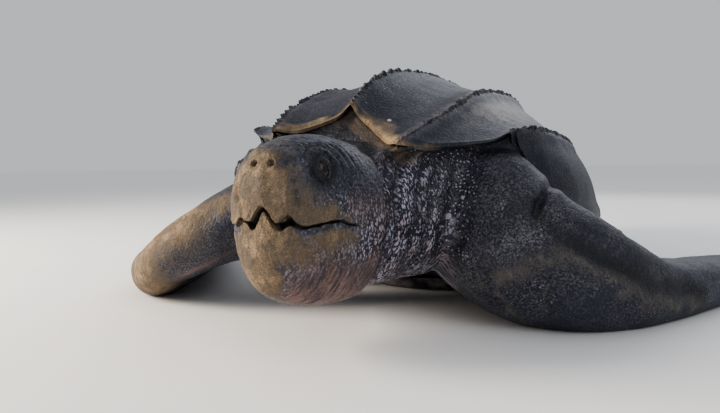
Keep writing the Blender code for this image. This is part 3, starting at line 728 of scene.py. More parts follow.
def eye_opening(high, rear):
    """Below 1 inside the opening between the lids, a slanted oval drawn to blunt corners."""
    tall = high * math.cos(LID_SLANT) - rear * math.sin(LID_SLANT)
    wide = rear * math.cos(LID_SLANT) + high * math.sin(LID_SLANT)
    return (abs(wide) / LID_HALF_WIDTH) ** 1.5 + (abs(tall) / LID_HALF_HEIGHT) ** 1.8


def mouth_lines(ax):
    """Levels of the beak's upper and lower edge at distances from the middle, corners rounded."""
    edges = 0.0
    for shift, share in ((-0.0028, 0.3), (0.0, 0.4), (0.0028, 0.3)):
        table = np.stack([UPPER_EDGE_Z, LOWER_EDGE_Z], axis=1)
        edges = edges + share * smooth_curve(MOUTH_X, table, abs(ax + shift))
    return edges[:, 0], edges[:, 1]


def clogged(x):
    """Sand fills most of the beak's gap on the right side."""
    return 1 - 0.75 * ramp(-0.020, -0.032, x)


def mouth_gap(p):
    """1 in the gap between the edges of the beak, and 0 outside it."""
    upper, lower = mouth_lines(abs(p[:, 0]))
    uneven = 0.0012 * noise(p, 0.006, 16)
    half = np.maximum(0.40 * (upper - lower), 0.0006) * clogged(p[:, 0]) + 0.0010
    front = ramp(MOUTH_CORNER_Y + 0.004, MOUTH_CORNER_Y - 0.010, p[:, 1])
    return front * ramp(half + 0.0012, half - 0.0008, abs(p[:, 2] - 0.5 * (upper + lower) + uneven))


def head_features(p):
    """The mouth, the beak's edges, the nostrils and fine folds: how far out each point moves."""
    x, y, z = p.T
    ax = abs(x)
    on_head = near_head(p) * ramp(-0.86, -0.90, y)
    # The edges of the beak: the upper one stands a little proud of the lower.
    upper, lower = mouth_lines(ax)
    front = ramp(MOUTH_CORNER_Y + 0.004, MOUTH_CORNER_Y - 0.010, y)
    middle = 0.5 * (upper + lower)
    deep = 0.006 + 1.1 * np.clip(upper - lower - 0.002, 0, 0.010) * clogged(x)
    lips = 0.0022 * np.exp(-np.clip(z - upper, 0, 1) / 0.008) * (z > middle)
    chin = -0.0040 * np.exp(-np.clip(lower - z, 0, 1) / 0.018) * (z <= middle)
    out = front * (lips + chin) - deep * mouth_gap(p)
    # A ridge down the middle of the snout, a groove above each outer notch and a pit beside it.
    snout = ramp(-0.985, -1.015, y)
    out -= 0.0030 * ramp(-1.020, -1.040, y)
    out += 0.0030 * bell(x, 0.008) * snout * ramp(0.225, 0.245, z) * ramp(0.300, 0.280, z)
    groove, share = near_path(head_side(p), NOTCH_GROOVE)
    out -= 0.0030 * bell(groove, 0.0045) * (1 - 0.6 * share)
    pit = np.linalg.norm((head_side(p) - NOTCH_PIT) / (1, 1, 1.3), axis=1)
    out -= 0.0045 * bell(pit, 0.0050)
    # Nostrils, with a thin raised rim.
    away = np.linalg.norm(head_side(p) - NOSTRIL_CENTRE, axis=1)
    out += 0.0010 * bell(away - 0.0075, 0.0025) - 0.0085 * np.exp(-((away / 0.0045) ** 4))
    # Sand lies in lumps.
    out += 0.0009 * np.maximum(noise(p, 0.009, 17), -0.2) * sand_on_head(p)
    return out * on_head


def round_grain(p):
    """Coordinates along and round the neck, for what runs round it."""
    x, y, z = p.T
    angle = np.arctan2(x, z - 0.20)
    return np.column_stack([angle * 0.125, y, 0.2 * np.hypot(x, z - 0.20)])


def fine_wrinkles(p):
    """Wrinkles of the throat, cheek, neck and limbs: how far out each point moves."""
    x, y, z = p.T
    ax = abs(x)
    grain = round_grain(p)
    grain[:, 1] += 0.004 * noise(p, 0.03, 11)
    round_lines = crease(grain, (0.050, 0.0085, 0.1), 12) + 0.6 * crease(grain, (0.03, 0.005, 0.1), 13)
    throat = near_head(p) * np.maximum(ramp(0.195, 0.165, z) * ramp(-1.03, -0.98, y), ramp(-0.985, -0.93, y))
    throat *= 1 - ramp(0.255, 0.285, z) * ramp(-0.86, -0.90, y)
    neck = ramp(0.23, 0.19, ax) * ramp(-0.52, -0.62, y)
    strength = np.maximum(throat * 0.8, neck * 0.7) * (y < -0.5)
    out = -0.0016 * strength * round_lines
    leather = crease(p, 0.022, 14) + crease(p + 0.3, 0.013, 15)
    out -= 0.0006 * (1 - strength) * leather * (1 - near_head(p) * ramp(-0.9, -0.95, y))
    return out * ramp(0.0, 0.02, z)


def arm_folds(p):
    """Creases of the left arm, where it folds back under the shell."""
    out = np.zeros(len(p))
    for path, width, depth, lip in ARM_CREASES:
        away, share = near_path(p, path)
        strength = depth * np.sin(math.pi * (0.06 + 0.88 * share))
        out += strength * (lip * bell(away - 2.1 * width, 1.2 * width) - bell(away, width))
    return out


# ==== skin: markings

def sand_on_head(p):
    """Sand on the snout, the beak and the lower jaw, from 0 to 1, fading over a wide edge."""
    x, y, z = p.T
    soft = 0.011 * noise(p, 0.030, 21) + 0.007 * noise(p, 0.013, 22)
    top = np.interp(abs(x), SAND_TOP_X, SAND_TOP_Z)
    low = np.interp(x, SAND_LOW_X, SAND_LOW_Z)
    lower = mouth_lines(abs(x))[1]
    snout = ramp(top + 0.020, top - 0.020, z + soft) * ramp(-0.940, -0.992, y + soft)
    jaw = ramp(-0.922, -0.972, y + soft) * ramp(low - 0.026, low + 0.024, z + soft)
    both = snout + (jaw - snout) * ramp(lower + 0.004, lower - 0.004, z)
    bare = 0.42 * ramp(-0.20, 0.60, noise(p, 0.019, 23) + 0.6 * noise(p, 0.008, 24))
    for centre, radii in SAND_BARE:
        away = np.linalg.norm((p - centre) / radii, axis=1)
        bare = np.maximum(bare, 0.85 * bell(away + 25 * soft + 0.25 * noise(p, 0.006, 25), 1.0))
    # Less sand towards the animal's left: partly thinner sand, partly painted shade on the side turned from
    # the key light.
    thinner_and_shaded = 1 - 0.30 * ramp(0.000, 0.036, x)
    return near_head(p) * both * (1 - bare) * thinner_and_shaded


def along_paths(p, paths):
    """How strongly each point is marked by what lies along the given paths."""
    total = np.zeros(len(p))
    for path, width, strength in paths:
        total = np.maximum(total, strength * bell(near_path(p, path)[0], width))
    return total


def mark_skin(mesh):
    """Masks from 0 to 1 that the skin's material reads."""
    p = read_points(mesh)
    x, y, z = p.T
    ax = abs(x)
    soft = 0.012 * noise(p, 0.030, 21) + 0.006 * noise(p, 0.012, 22)
    head = near_head(p)
    sand = np.maximum(sand_on_head(p), along_paths(p + soft[:, None], SAND_PATHS))
    lower = mouth_lines(ax)[1]
    lip = head * bell(z - (lower - 0.0045), 0.0060) * ramp(0.036, 0.050, ax) * ramp(MOUTH_CORNER_Y, -0.955, y)
    # The throat is pink below the sand.
    low = np.interp(x, SAND_LOW_X, SAND_LOW_Z)
    throat = head * ramp(low + 0.010, low - 0.030, z + soft) * ramp(-0.84, -0.92, y)
    # Dashes crowd on the neck and cheeks, and thin out over the shoulders.
    cheek = 0.72 * head * ramp(-1.035, -0.985, y + 0.3 * (0.23 - z) + soft)
    cheek *= ramp(0.264, 0.226, z + soft + 0.5 * np.clip(y + 0.93, 0, 1))
    dots = ramp(0.100, 0.135, ax + soft) * ramp(0.235, 0.190, ax + soft) * ramp(-0.60, -0.68, y)
    dots *= ramp(-0.90, -0.86, y) * ramp(0.10, 0.14, z)
    neck = ramp(0.190, 0.140, ax + soft) * ramp(-0.58, -0.70, y) * ramp(-0.018, 0.008, behind_head(p))
    neck *= 1 - 0.92 * ramp(0.268, 0.302, z + soft)
    grooves = neck_grooves(p)
    # Painted shade: the skin is drawn darkest in the grooves, in the mouth and nostrils, in the arm's creases
    # and under the shell's front edge; round the eyes it is partly painted shade and partly the lids' own
    # black skin.
    outward, up, back = eye_frame(1)
    from_eye = head_side(p) - EYE_CENTRE
    eye_gap = np.linalg.norm(from_eye - 0.012 * outward, axis=1)
    # A painted highlight along the rim of the lids behind each eye: it lightens the shade there and joins the
    # pale mottling.
    lid_highlight = head * bell(eye_opening(from_eye @ up, from_eye @ back) - 1.55, 0.35) * ramp(0.034, 0.026, eye_gap)
    lid_highlight *= ramp(-0.002, 0.004, from_eye @ back)
    # Painted shadow of the back of the head, along the first fold of the neck.
    first_fold_shadow = bell(behind_head(p), 0.011) * on_neck(p)
    painted_shade_and_dark_lids = np.maximum(0.55 * grooves, first_fold_shadow)
    # Round each eye: partly painted shade of the socket and partly the lids' own black skin, less where the
    # lid rim takes its painted highlight.
    painted_shade_and_dark_lids = np.maximum(painted_shade_and_dark_lids, head * 0.85 * ramp(0.036, 0.016, eye_gap) * (1 - 0.9 * lid_highlight))
    nostril = np.linalg.norm(head_side(p) - NOSTRIL_CENTRE, axis=1)
    # Painted shade in the mouth's gap and in the nostrils.
    painted_shade_and_dark_lids = np.maximum(painted_shade_and_dark_lids, np.maximum(mouth_gap(p), ramp(0.0060, 0.0035, nostril)) * head)
    # Painted shade under the shell's front edge.
    painted_shade_and_dark_lids = np.maximum(painted_shade_and_dark_lids, 0.55 * ramp(-0.85, -0.79, y) * ramp(0.285, 0.33, z))
    # Painted shade in the arm's deeper creases.
    for path, width, _, _ in ARM_CREASES[:3]:
        painted_shade_and_dark_lids = np.maximum(painted_shade_and_dark_lids, 0.85 * bell(near_path(p, path)[0], width))
    marks = {
        "sand": sand,
        "dust": along_paths(p + 1.2 * soft[:, None], DUST_PATHS),
        "pink": np.maximum(throat, along_paths(p, PINK_PATHS)),
        # Fewer pale dashes in the neck's grooves, which darkens them as painted shade.
        "spots": np.maximum(cheek, neck) * (1 - 0.65 * grooves),
        "dots": dots,
        # Where the head's top is glossier and takes a painted sheen.
        "gloss_and_painted_sheen": head * ramp(0.24, 0.29, z) * ramp(-0.80, -0.86, y),
        "lip": lip,
        # Pale mottling along the paths, and the painted highlight on the lid rims.
        "mottle_and_lid_highlight": np.maximum(along_paths(p + soft[:, None], MOTTLE_PATHS), lid_highlight),
        "painted_shade_and_dark_lids": painted_shade_and_dark_lids,
    }
    for name, values in marks.items():
        set_attribute(mesh, name, np.clip(values, 0, 1))
    set_attribute(mesh, "grain", round_grain(p))


def refine_head(mesh):
    """Smaller faces on the head and neck, and again round the eyes, nostrils and mouth."""
    x, y, _ = face_centres(mesh).T
    refine(mesh, (y < FINE_Y) & (abs(x) < FINE_HALF_WIDTH))
    relax(mesh, lambda p: ramp(-0.66, -0.72, p[:, 1]) * ramp(0.22, 0.18, abs(p[:, 0])), HEAD_ROUNDS[0])
    centres = face_centres(mesh)
    x, y, z = centres.T
    upper, lower = mouth_lines(abs(x))
    at_mouth = (y < MOUTH_CORNER_Y + 0.01) & (z > lower - FINE_MOUTH) & (z < upper + FINE_MOUTH)
    eye_gap = np.linalg.norm(head_side(centres) - EYE_CENTRE, axis=1)
    nostril_gap = np.linalg.norm(head_side(centres) - NOSTRIL_CENTRE, axis=1)
    refine(mesh, (eye_gap < FINE_EYE) | at_mouth | (nostril_gap < FINE_NOSTRIL))
    relax(mesh, lambda p: ramp(-0.90, -0.93, p[:, 1]) * near_head(p), HEAD_ROUNDS[1])


def build_skin():
    """One skin over the trunk, neck, head, limbs and tail."""
    forms = [
        trunk_form(),
        neck_and_head_form(),
        limb_form(ARM_LEFT, 1),
        limb_form(ARM_RIGHT, -1),
        limb_form(LEG_LEFT, 1),
        limb_form(LEG_LEFT * MIRROR, -1),
        limb_form(TAIL, 1),
    ]
    points, faces, count = [], [], 0
    for form in forms:
        part_points, part_faces = loft(form)
        points.append(part_points)
        faces += [tuple(i + count for i in face) for face in part_faces]
        count += len(part_points)
    skin = new_object("skin", np.concatenate(points), faces)
    remesh = skin.modifiers.new("one_skin", "REMESH")
    remesh.mode = "VOXEL"
    remesh.voxel_size = VOXEL
    apply_modifiers(skin)
    mesh = skin.data
    relax(mesh, lambda p: np.ones(len(p)), SKIN_ROUNDS)
    relax(mesh, seam_weight, SEAM_ROUNDS)
    p = read_points(mesh)
    write_points(mesh, p + read_normals(mesh) * (body_folds(p) + arm_folds(p))[:, None])
    refine_head(mesh)
    p = read_points(mesh)
    p = p + read_normals(mesh) * (head_features(p) + fine_wrinkles(p))[:, None]
    write_points(mesh, p)
    p = shape_eyes(p, read_normals(mesh))
    p[:, 2] = np.maximum(p[:, 2], 0.0)
    write_points(mesh, p)
    mark_skin(mesh)
    mesh.shade_smooth()
    mesh.materials.clear()
    mesh.materials.append(skin_material())
    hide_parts(*FLESH)
    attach(skin, BODY)


# ==== shell, eyes, plastron

def keel_knobs(points, lane, t):
    """Rows of blunt knobs along the seven keels: how far out each point moves."""
    nearest = np.round(lane)
    columns = np.argmin(abs(lane[:, None] - np.arange(-3, 4)[None]), axis=0)
    out = np.zeros(points.shape[:2])
    for keel, column in zip(range(-3, 4), columns):
        line = points[:, column]
        step = np.linalg.norm(np.diff(line, axis=0), axis=1)
        spacing = KNOB_SPACING[0] + (KNOB_SPACING[1] - KNOB_SPACING[0]) * t
        phase = np.cumsum(np.concatenate([[0.0], step / spacing[1:]]))
        number = np.floor(phase).astype(np.int64)
        cell = np.stack([number, number * 0 + keel, number * 0], axis=-1)
        size = 0.30 + 0.70 * lattice(cell, 31)
        middle = 0.40 + 0.20 * lattice(cell, 32)
        height = (KNOB_HEIGHT[0] + (KNOB_HEIGHT[1] - KNOB_HEIGHT[0]) * t) * size
        height *= np.clip((1 - t) / 0.2, 0, 1) * (MARGIN_KNOBS if abs(keel) == 3 else 1.0)
        aside = 0.004 * (lattice(cell, 33) - 0.5)
        away = np.linalg.norm(points - line[:, None], axis=-1) * np.sign(lane - keel)[None]
        along = (phase - number - middle) / 0.36
        across = (away - aside[:, None]) / (KNOB_ACROSS * (0.8 + 0.5 * size[:, None]))
        ours = (nearest == keel)[None]
        round_top = np.clip(1 - along[:, None] ** 2 - across ** 2, 0, 1) ** 0.75
        out += height[:, None] * round_top * ours
        out -= KEEL_SINK * bell(away, KEEL_SINK_WIDTH) * ours
    return out


def grid_normals(points):
    along = np.gradient(points, axis=0)
    across = np.gradient(points, axis=1)
    normal = np.cross(along, across)
    normal /= np.linalg.norm(normal, axis=-1, keepdims=True) + 1e-12
    if normal[len(normal) // 2, normal.shape[1] // 2, 2] < 0:
        normal = -normal
    return normal


def shell_sand(lane, t, points):
    """Sand on the front edge, most of it between the middle keel and the left inner one."""
    share = np.interp(lane, RIM_SAND_LANE, RIM_SAND_SHARE)
    uneven = 0.010 * noise(points, 0.035, 45) + 0.006 * noise(points, 0.012, 46)
    wide = 1 + 0.9 * bell(lane - 0.55, 0.30)
    return ramp(0.018, -0.003, (t + uneven) / wide) * share


def shell_dust(lane, t):
    """Pale dust on the left flank and beside the inner keel."""
    beside = ramp(1.0, 1.25, lane) * ramp(1.95, 1.3, lane) * ramp(0.04, 0.20, t) * ramp(0.70, 0.30, t)
    flank_edge = ramp(2.50, 2.95, lane) * ramp(0.15, 0.40, t) * ramp(0.90, 0.50, t)
    return np.clip(0.9 * beside + 0.5 * flank_edge, 0, 1)


def build_shell():
    """The leathery shell, with knobbed keels and a worn, slightly uneven surface."""
    t = np.linspace(0, 1, SHELL_ROWS) ** 1.2
    u = np.linspace(0, 1, LANE_STEPS + 1)[:-1]
    step = 0.5 * u + 0.5 * (0.5 - 0.5 * np.cos(math.pi * u))
    lane = np.concatenate([np.concatenate([k + step for k in range(-3, 3)]), [3.0]])
    outer = shell_points(t, lane, 0.0)
    near_rim = ramp(0.012, 0.0, t)[:, None]
    thinned = 1 - RIM_THINNING * ramp(0.06, 0.0, t)[:, None, None]
    inner = rolled(shell_points(t, lane, shell_thickness(t) * thinned))
    knobs = keel_knobs(outer, lane, t)
    outer = rolled(outer)
    flat = outer.reshape(-1, 3)
    uneven = 0.0016 * noise(flat, 0.11, 41) + 0.0008 * noise(flat, 0.03, 42) - 0.0016
    out = knobs + uneven.reshape(outer.shape[:2]) * ramp(0.0, 0.02, t)[:, None] - RIM_ROUND * near_rim
    outer = outer + grid_normals(outer) * out[..., None]
    ragged = 0.0035 * noise(flat, 0.022, 43) + 0.002 * noise(flat, 0.009, 44) - 0.003
    for surface in (outer, inner):
        surface[..., 1] -= ragged.reshape(near_rim.shape[0], -1) * near_rim
    sections = np.concatenate([outer, inner[:, ::-1]], axis=1)
    points, faces = loft(sections)
    faces = faces[:-2]
    rings, sides = sections.shape[:2]
    for row in (0, rings - 1):
        for k in range(len(lane) - 1):
            a, b = row * sides + k, row * sides + sides - 1 - k
            faces.append((a, a + 1, b - 1, b))
    shell = new_object("shell", points, faces)
    shape = bmesh.new()
    shape.from_mesh(shell.data)
    bmesh.ops.recalc_face_normals(shape, faces=shape.faces)
    shape.to_mesh(shell.data)
    shape.free()
    keel = np.tile(np.concatenate([abs(lane - np.round(lane)), 0.5 + 0 * lane]), (rings, 1))
    around = np.tile(np.concatenate([lane, lane[::-1]]), (rings, 1))
    along = np.tile(t[:, None], (1, sides))
    set_attribute(shell.data, "keel", keel.ravel())
    rim = shell_sand(around.ravel(), along.ravel(), sections.reshape(-1, 3))
    set_attribute(shell.data, "rim", rim)
    set_attribute(shell.data, "dust", shell_dust(around, along).ravel())
    shell.data.shade_smooth()
    shell.data.set_sharp_from_angle(angle=SHARP_EDGE)
    shell.data.materials.append(shell_material())
    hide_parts("carapace")
    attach(shell, BODY)


def build_eyes():
    for side, word in ((1, "left"), (-1, "right")):
        low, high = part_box("eye_" + word)
        across, along = EYE_SEGMENTS
        shape = bmesh.new()
        bmesh.ops.create_uvsphere(shape, u_segments=across, v_segments=along, radius=(high.z - low.z) / 2)
        mesh = bpy.data.meshes.new("eyeball_" + word)
        shape.to_mesh(mesh)
        shape.free()
        ball = place_object("eyeball_" + word, mesh)
        ball.location = (low + high) / 2
        ball.rotation_euler = Vector(eye_frame(side)[0]).to_track_quat("Z", "Y").to_euler()
        mesh.shade_smooth()
        mesh.materials.append(eye_material())
        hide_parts("eye_" + word)
        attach(ball, BODY)


# ==== materials

SILT = (0.110, 0.086, 0.064)
THIN_SAND = (0.165, 0.124, 0.086)


class Nodes:
    """A material's nodes, made one call at a time."""

    def __init__(self, name):
        self.material = bpy.data.materials.new(name)
        self.material.use_nodes = True
        self.tree = self.material.node_tree
        self.shader = self.tree.nodes["Principled BSDF"]
        self.place = self.add("ShaderNodeTexCoord").outputs["Object"]

    def feed(self, node, key, value):
        """Links an input to a socket or sets it. Its key is its name, or i and its number."""
        socket = node.inputs[int(key[1:]) if key[1:].isdigit() else key.replace("_", " ")]
        if isinstance(value, bpy.types.NodeSocket):
            self.tree.links.new(value, socket)
        else:
            socket.default_value = value

    def add(self, kind, settings=None, **inputs):
        node = self.tree.nodes.new(kind)
        for key, value in (settings or {}).items():
            setattr(node, key, value)
        for key, value in inputs.items():
            self.feed(node, key, value)
        return node

    def attribute(self, name, output="Fac"):
        return self.add("ShaderNodeAttribute", {"attribute_name": name}).outputs[output]

    def noise(self, scale, detail=3.0, roughness=0.55, vector=None):
        node = self.add("ShaderNodeTexNoise", Vector=vector or self.place, Scale=scale, Detail=detail,
                        Roughness=roughness)
        return node.outputs["Fac"]

    def patches(self, scale, low, high, detail=3.0, roughness=0.55):
        """Noise cut into patches, 0 where it is under low and 1 where it is over high."""
        return self.ramp(self.noise(scale, detail, roughness), low, high)

    def streaks(self, vector, stretch, detail=5.0, roughness=0.75):
        return self.noise(1.0, detail, roughness, self.stretched(vector, stretch))

    def stretched(self, vector, scale):
        return self.add("ShaderNodeMapping", Vector=vector, Scale=scale).outputs["Vector"]

    def warp(self, vector, scale, amount):
        """The vector, moved about by noise."""
        noise = self.add("ShaderNodeTexNoise", Vector=vector, Scale=scale).outputs["Color"]
        moved = self.add("ShaderNodeVectorMath", {"operation": "MULTIPLY_ADD"}, i0=noise,
                         i1=(amount,) * 3, i2=vector)
        return moved.outputs["Vector"]

    def spot(self, vector, centre, radius, depth=0.3):
        """1 inside a small mark and 0 outside it; along Y it reaches further, by 1 / depth."""
        flat = self.stretched(vector, (1.0, depth, 1.0))
        middle = (centre[0] + 0.003, (centre[1] + 0.003) * depth, centre[2] + 0.003)
        away = self.add("ShaderNodeVectorMath", {"operation": "DISTANCE"}, i0=flat, i1=middle)
        return self.ramp(away.outputs["Value"], radius * 1.15, radius * 0.8)

    def cells(self, vector, scale, feature="F1"):
        node = self.add("ShaderNodeTexVoronoi", {"feature": feature}, Vector=vector, Scale=scale)
        return node.outputs["Distance"]

    def math(self, operation, a, b):
        return self.add("ShaderNodeMath", {"operation": operation}, i0=a, i1=b).outputs["Value"]

    def times(self, a, b):
        return self.math("MULTIPLY", a, b)

    def most(self, a, b):
        return self.math("MAXIMUM", a, b)

    def swing(self, value, amount):
        """Turns a value between 0 and 1 into one that swings to both sides of 0."""
        return self.times(self.math("SUBTRACT", value, 0.5), amount)

    def ramp(self, value, low, high, to_low=0.0, to_high=1.0):
        """Smoothly from to_low to to_high while the value goes from low to high."""
        node = self.add("ShaderNodeMapRange", {"interpolation_type": "SMOOTHSTEP"}, Value=value,
                        From_Min=low, From_Max=high, To_Min=to_low, To_Max=to_high)
        return node.outputs["Result"]

    def blend(self, share, a, b):
        """From colour a to colour b."""
        a, b = ((*colour, 1.0) if isinstance(colour, tuple) else colour for colour in (a, b))
        return self.add("ShaderNodeMix", {"data_type": "RGBA"}, i0=share, i6=a, i7=b).outputs[2]

    def over(self, colour, other, mask, amount):
        """The other colour laid over the first one, by the mask times the amount."""
        return self.blend(self.times(mask, amount), colour, other)

    def mix_value(self, share, a, b):
        return self.add("ShaderNodeMix", {"data_type": "FLOAT"}, i0=share, i2=a, i3=b).outputs[0]

    def bump(self, height, distance, strength, normal=None):
        below = {"Normal": normal} if normal else {}
        node = self.add("ShaderNodeBump", Height=height, Distance=distance, Strength=strength, **below)
        return node.outputs["Normal"]

    def finish(self, colour, roughness, normal, **settings):
        sockets = {"Base Color": colour, "Roughness": roughness, "Normal": normal, **settings}
        for key, value in sockets.items():
            self.feed(self.shader, key, value)
        return self.material


def skin_base(n):
    """Blue-black skin with fine grey speckle in drifts, scattered dots and pale scuffs."""
    colour = n.blend(n.patches(9.0, 0.36, 0.70, 5.0, 0.6), (0.006, 0.0075, 0.016), (0.022, 0.025, 0.040))
    speck = n.ramp(n.cells(n.warp(n.place, 70.0, 0.006), 205.0), 0.52, 0.20)
    grain = n.patches(330.0, 0.46, 0.66, 3.0, 0.7)
    drifts = n.ramp(n.noise(8.0, 4.0, 0.6), 0.38, 0.64, 0.12, 0.75)
    # The mottle attribute also carries a painted highlight along the rim of the eyelids.
    mottle_and_lid_highlight = n.times(n.most(speck, grain), n.most(drifts, n.attribute("mottle_and_lid_highlight")))
    colour = n.blend(mottle_and_lid_highlight, colour, (0.135, 0.132, 0.152))
    dot = n.ramp(n.cells(n.place, 150.0), 0.30, 0.15)
    crowd = n.most(n.ramp(n.noise(24.0), 0.50, 0.64, 0.0, 0.40), n.attribute("dots"))
    colour = n.over(colour, (0.43, 0.41, 0.47), dot, crowd)
    rubbed = n.most(n.patches(14.0, 0.44, 0.64, 4.0), n.attribute("mottle_and_lid_highlight"))
    scuffs = n.times(n.patches(160.0, 0.48, 0.70, 5.0, 0.7), rubbed)
    return n.over(colour, (0.16, 0.152, 0.165), scuffs, 0.55)


def add_blotches(n, colour):
    """Bright blotches on the shoulder, and a few small ones elsewhere."""
    bent = n.warp(n.place, 90.0, 0.009)
    marks = n.times(n.ramp(n.cells(bent, 17.0), 0.070, 0.04), n.patches(5.0, 0.54, 0.58))
    marks = n.times(marks, 0.6)
    for centre, radius in WHITE_MARKS:
        marks = n.most(marks, n.spot(bent, centre, radius))
    return n.over(colour, (0.50, 0.48, 0.52), marks, 0.75)


def neck_dashes(n, grain):
    """Pale dashes drawn out round the neck, in two sizes."""
    wander = n.warp(grain, 40.0, 0.008)
    size = n.ramp(n.noise(30.0), 0.30, 0.70, 0.28, 0.46)
    drawn = []
    for reach, stretch in ((size, (105.0, 300.0, 15.0)), (n.times(size, 0.85), (170.0, 420.0, 15.0))):
        dash = n.cells(n.stretched(wander, stretch), 1.0)
        drawn.append(n.ramp(n.math("SUBTRACT", reach, dash), -0.05, 0.09))
    return n.most(drawn[0], n.times(drawn[1], 0.8))


def throat_colour(n, grain):
    """Dusky pink with thin dark streaks that run round the jaw."""
    streaks = n.streaks(n.warp(grain, 24.0, 0.010), (20.0, 360.0, 10.0))
    rosy = n.blend(n.patches(16.0, 0.40, 0.62), (0.200, 0.115, 0.090), (0.255, 0.170, 0.175))
    dull = n.blend(0.70, rosy, (0.050, 0.038, 0.042))
    rosy = n.blend(n.patches(24.0, 0.40, 0.60, 5.0, 0.7), dull, rosy)
    return n.blend(n.ramp(streaks, 0.42, 0.56), (0.040, 0.030, 0.036), rosy)


def sand_cover(n, amount):
    """How fully sand covers the skin, where single grains stick, and the film of silt below."""
    drift = n.swing(n.noise(22.0, 4.0, 0.6), 0.55)
    lump = n.swing(n.streaks(n.warp(n.place, 30.0, 0.008), (120.0, 90.0, 42.0)), 0.90)
    cover = n.math("ADD", amount, n.math("ADD", drift, lump))
    grains = n.swing(n.noise(380.0, 3.0, 0.85), 2.2)
    stuck = n.ramp(n.math("ADD", cover, grains), 0.28, 0.68)
    film = n.ramp(n.math("ADD", amount, n.times(lump, 0.6)), -0.02, 0.60)
    film = n.times(film, n.ramp(amount, 0.01, 0.15))
    return cover, n.times(stuck, n.ramp(amount, 0.02, 0.22)), film


def sand_colour(n, cover, thin, thick):
    """Damp and brown where it lies thin, pale where it lies thick, with dark grains in it."""
    colour = n.blend(n.ramp(cover, 0.30, 1.15), thin, thick)
    damp = n.ramp(n.streaks(n.place, (50.0, 50.0, 26.0), 6.0), 0.58, 0.44)
    colour = n.over(colour, thin, damp, 0.72)
    dark = n.blend(0.60, colour, (0.060, 0.047, 0.037))
    return n.blend(n.patches(700.0, 0.38, 0.58, 2.0, 0.6), dark, colour)


def add_sand(n, colour, amount, thick):
    """The colour under silt and sand, and where the sand lies."""
    cover, sand, film = sand_cover(n, amount)
    colour = n.over(colour, SILT, film, 0.85)
    return n.blend(sand, colour, sand_colour(n, cover, THIN_SAND, thick)), sand


def skin_material():
    """Blue-black skin with pale speckle and dashes, pink below, sand where it sticks, painted shade in
    hollows and a painted sheen on the head's top.
    """
    n = Nodes("leatherback_skin")
    grain = n.attribute("grain", "Vector")
    spots = n.attribute("spots")
    gloss_and_painted_sheen = n.attribute("gloss_and_painted_sheen")
    fine = n.noise(160.0, 5.0, 0.7)
    colour = add_blotches(n, skin_base(n))
    # Painted sheen: blue-grey streaks of painted reflection on the head's top, where the skin is also
    # glossier.
    painted_sheen = n.ramp(n.streaks(n.warp(n.place, 18.0, 0.02), (70.0, 22.0, 70.0), 5.0, 0.7), 0.48, 0.66)
    colour = n.over(colour, (0.105, 0.120, 0.160), n.times(painted_sheen, gloss_and_painted_sheen), 0.60)
    dashes = neck_dashes(n, grain)
    pale = n.blend(n.patches(20.0, 0.42, 0.60), (0.44, 0.41, 0.51), (0.40, 0.315, 0.345))
    colour = n.over(colour, pale, dashes, n.times(spots, 0.92))
    colour = n.over(colour, throat_colour(n, grain), n.attribute("pink"), 0.88)
    # Grey-brown dust on the left arm and elbow, then sand on the beak, the jaw and the right arm.
    cover, dusty, _ = sand_cover(n, n.times(n.attribute("dust"), 0.80))
    dust = sand_colour(n, cover, (0.108, 0.098, 0.090), (0.285, 0.262, 0.240))
    colour = n.over(colour, dust, dusty, 0.85)
    amount = n.attribute("sand")
    colour, sand = add_sand(n, colour, amount, (0.440, 0.318, 0.200))
    lip = n.blend(n.patches(140.0, 0.45, 0.60), (0.030, 0.036, 0.060), (0.15, 0.16, 0.21))
    colour = n.over(colour, lip, n.attribute("lip"), 0.85)
    # Near-black painted shade in the grooves, creases, mouth, nostrils and under the shell's edge, and round
    # the eyes partly the lids' own black skin.
    colour = n.over(colour, (0.004, 0.004, 0.007), n.attribute("painted_shade_and_dark_lids"), 0.90)
    rough = n.math("SUBTRACT", n.ramp(fine, 0.3, 0.7, 0.42, 0.62), n.times(gloss_and_painted_sheen, 0.14))
    rough = n.mix_value(n.most(sand, dusty), rough, 0.93)
    normal = n.bump(n.ramp(n.cells(n.place, 130.0, "DISTANCE_TO_EDGE"), 0.0, 0.22), 0.0008, 0.55)
    normal = n.bump(fine, 0.0014, 0.6, normal)
    normal = n.bump(n.times(dashes, spots), 0.0007, 0.5, normal)
    # The sand stands up in lumps and grains.
    layer = n.ramp(amount, 0.10, 0.90)
    normal = n.bump(n.times(n.noise(95.0, 5.0, 0.7), layer), 0.0065, 0.9, normal)
    normal = n.bump(n.times(n.noise(800.0, 2.0, 0.6), layer), 0.0016, 0.9, normal)
    return n.finish(colour, rough, normal, Specular_IOR_Level=0.32, Coat_Weight=0.04, Coat_Roughness=0.30)


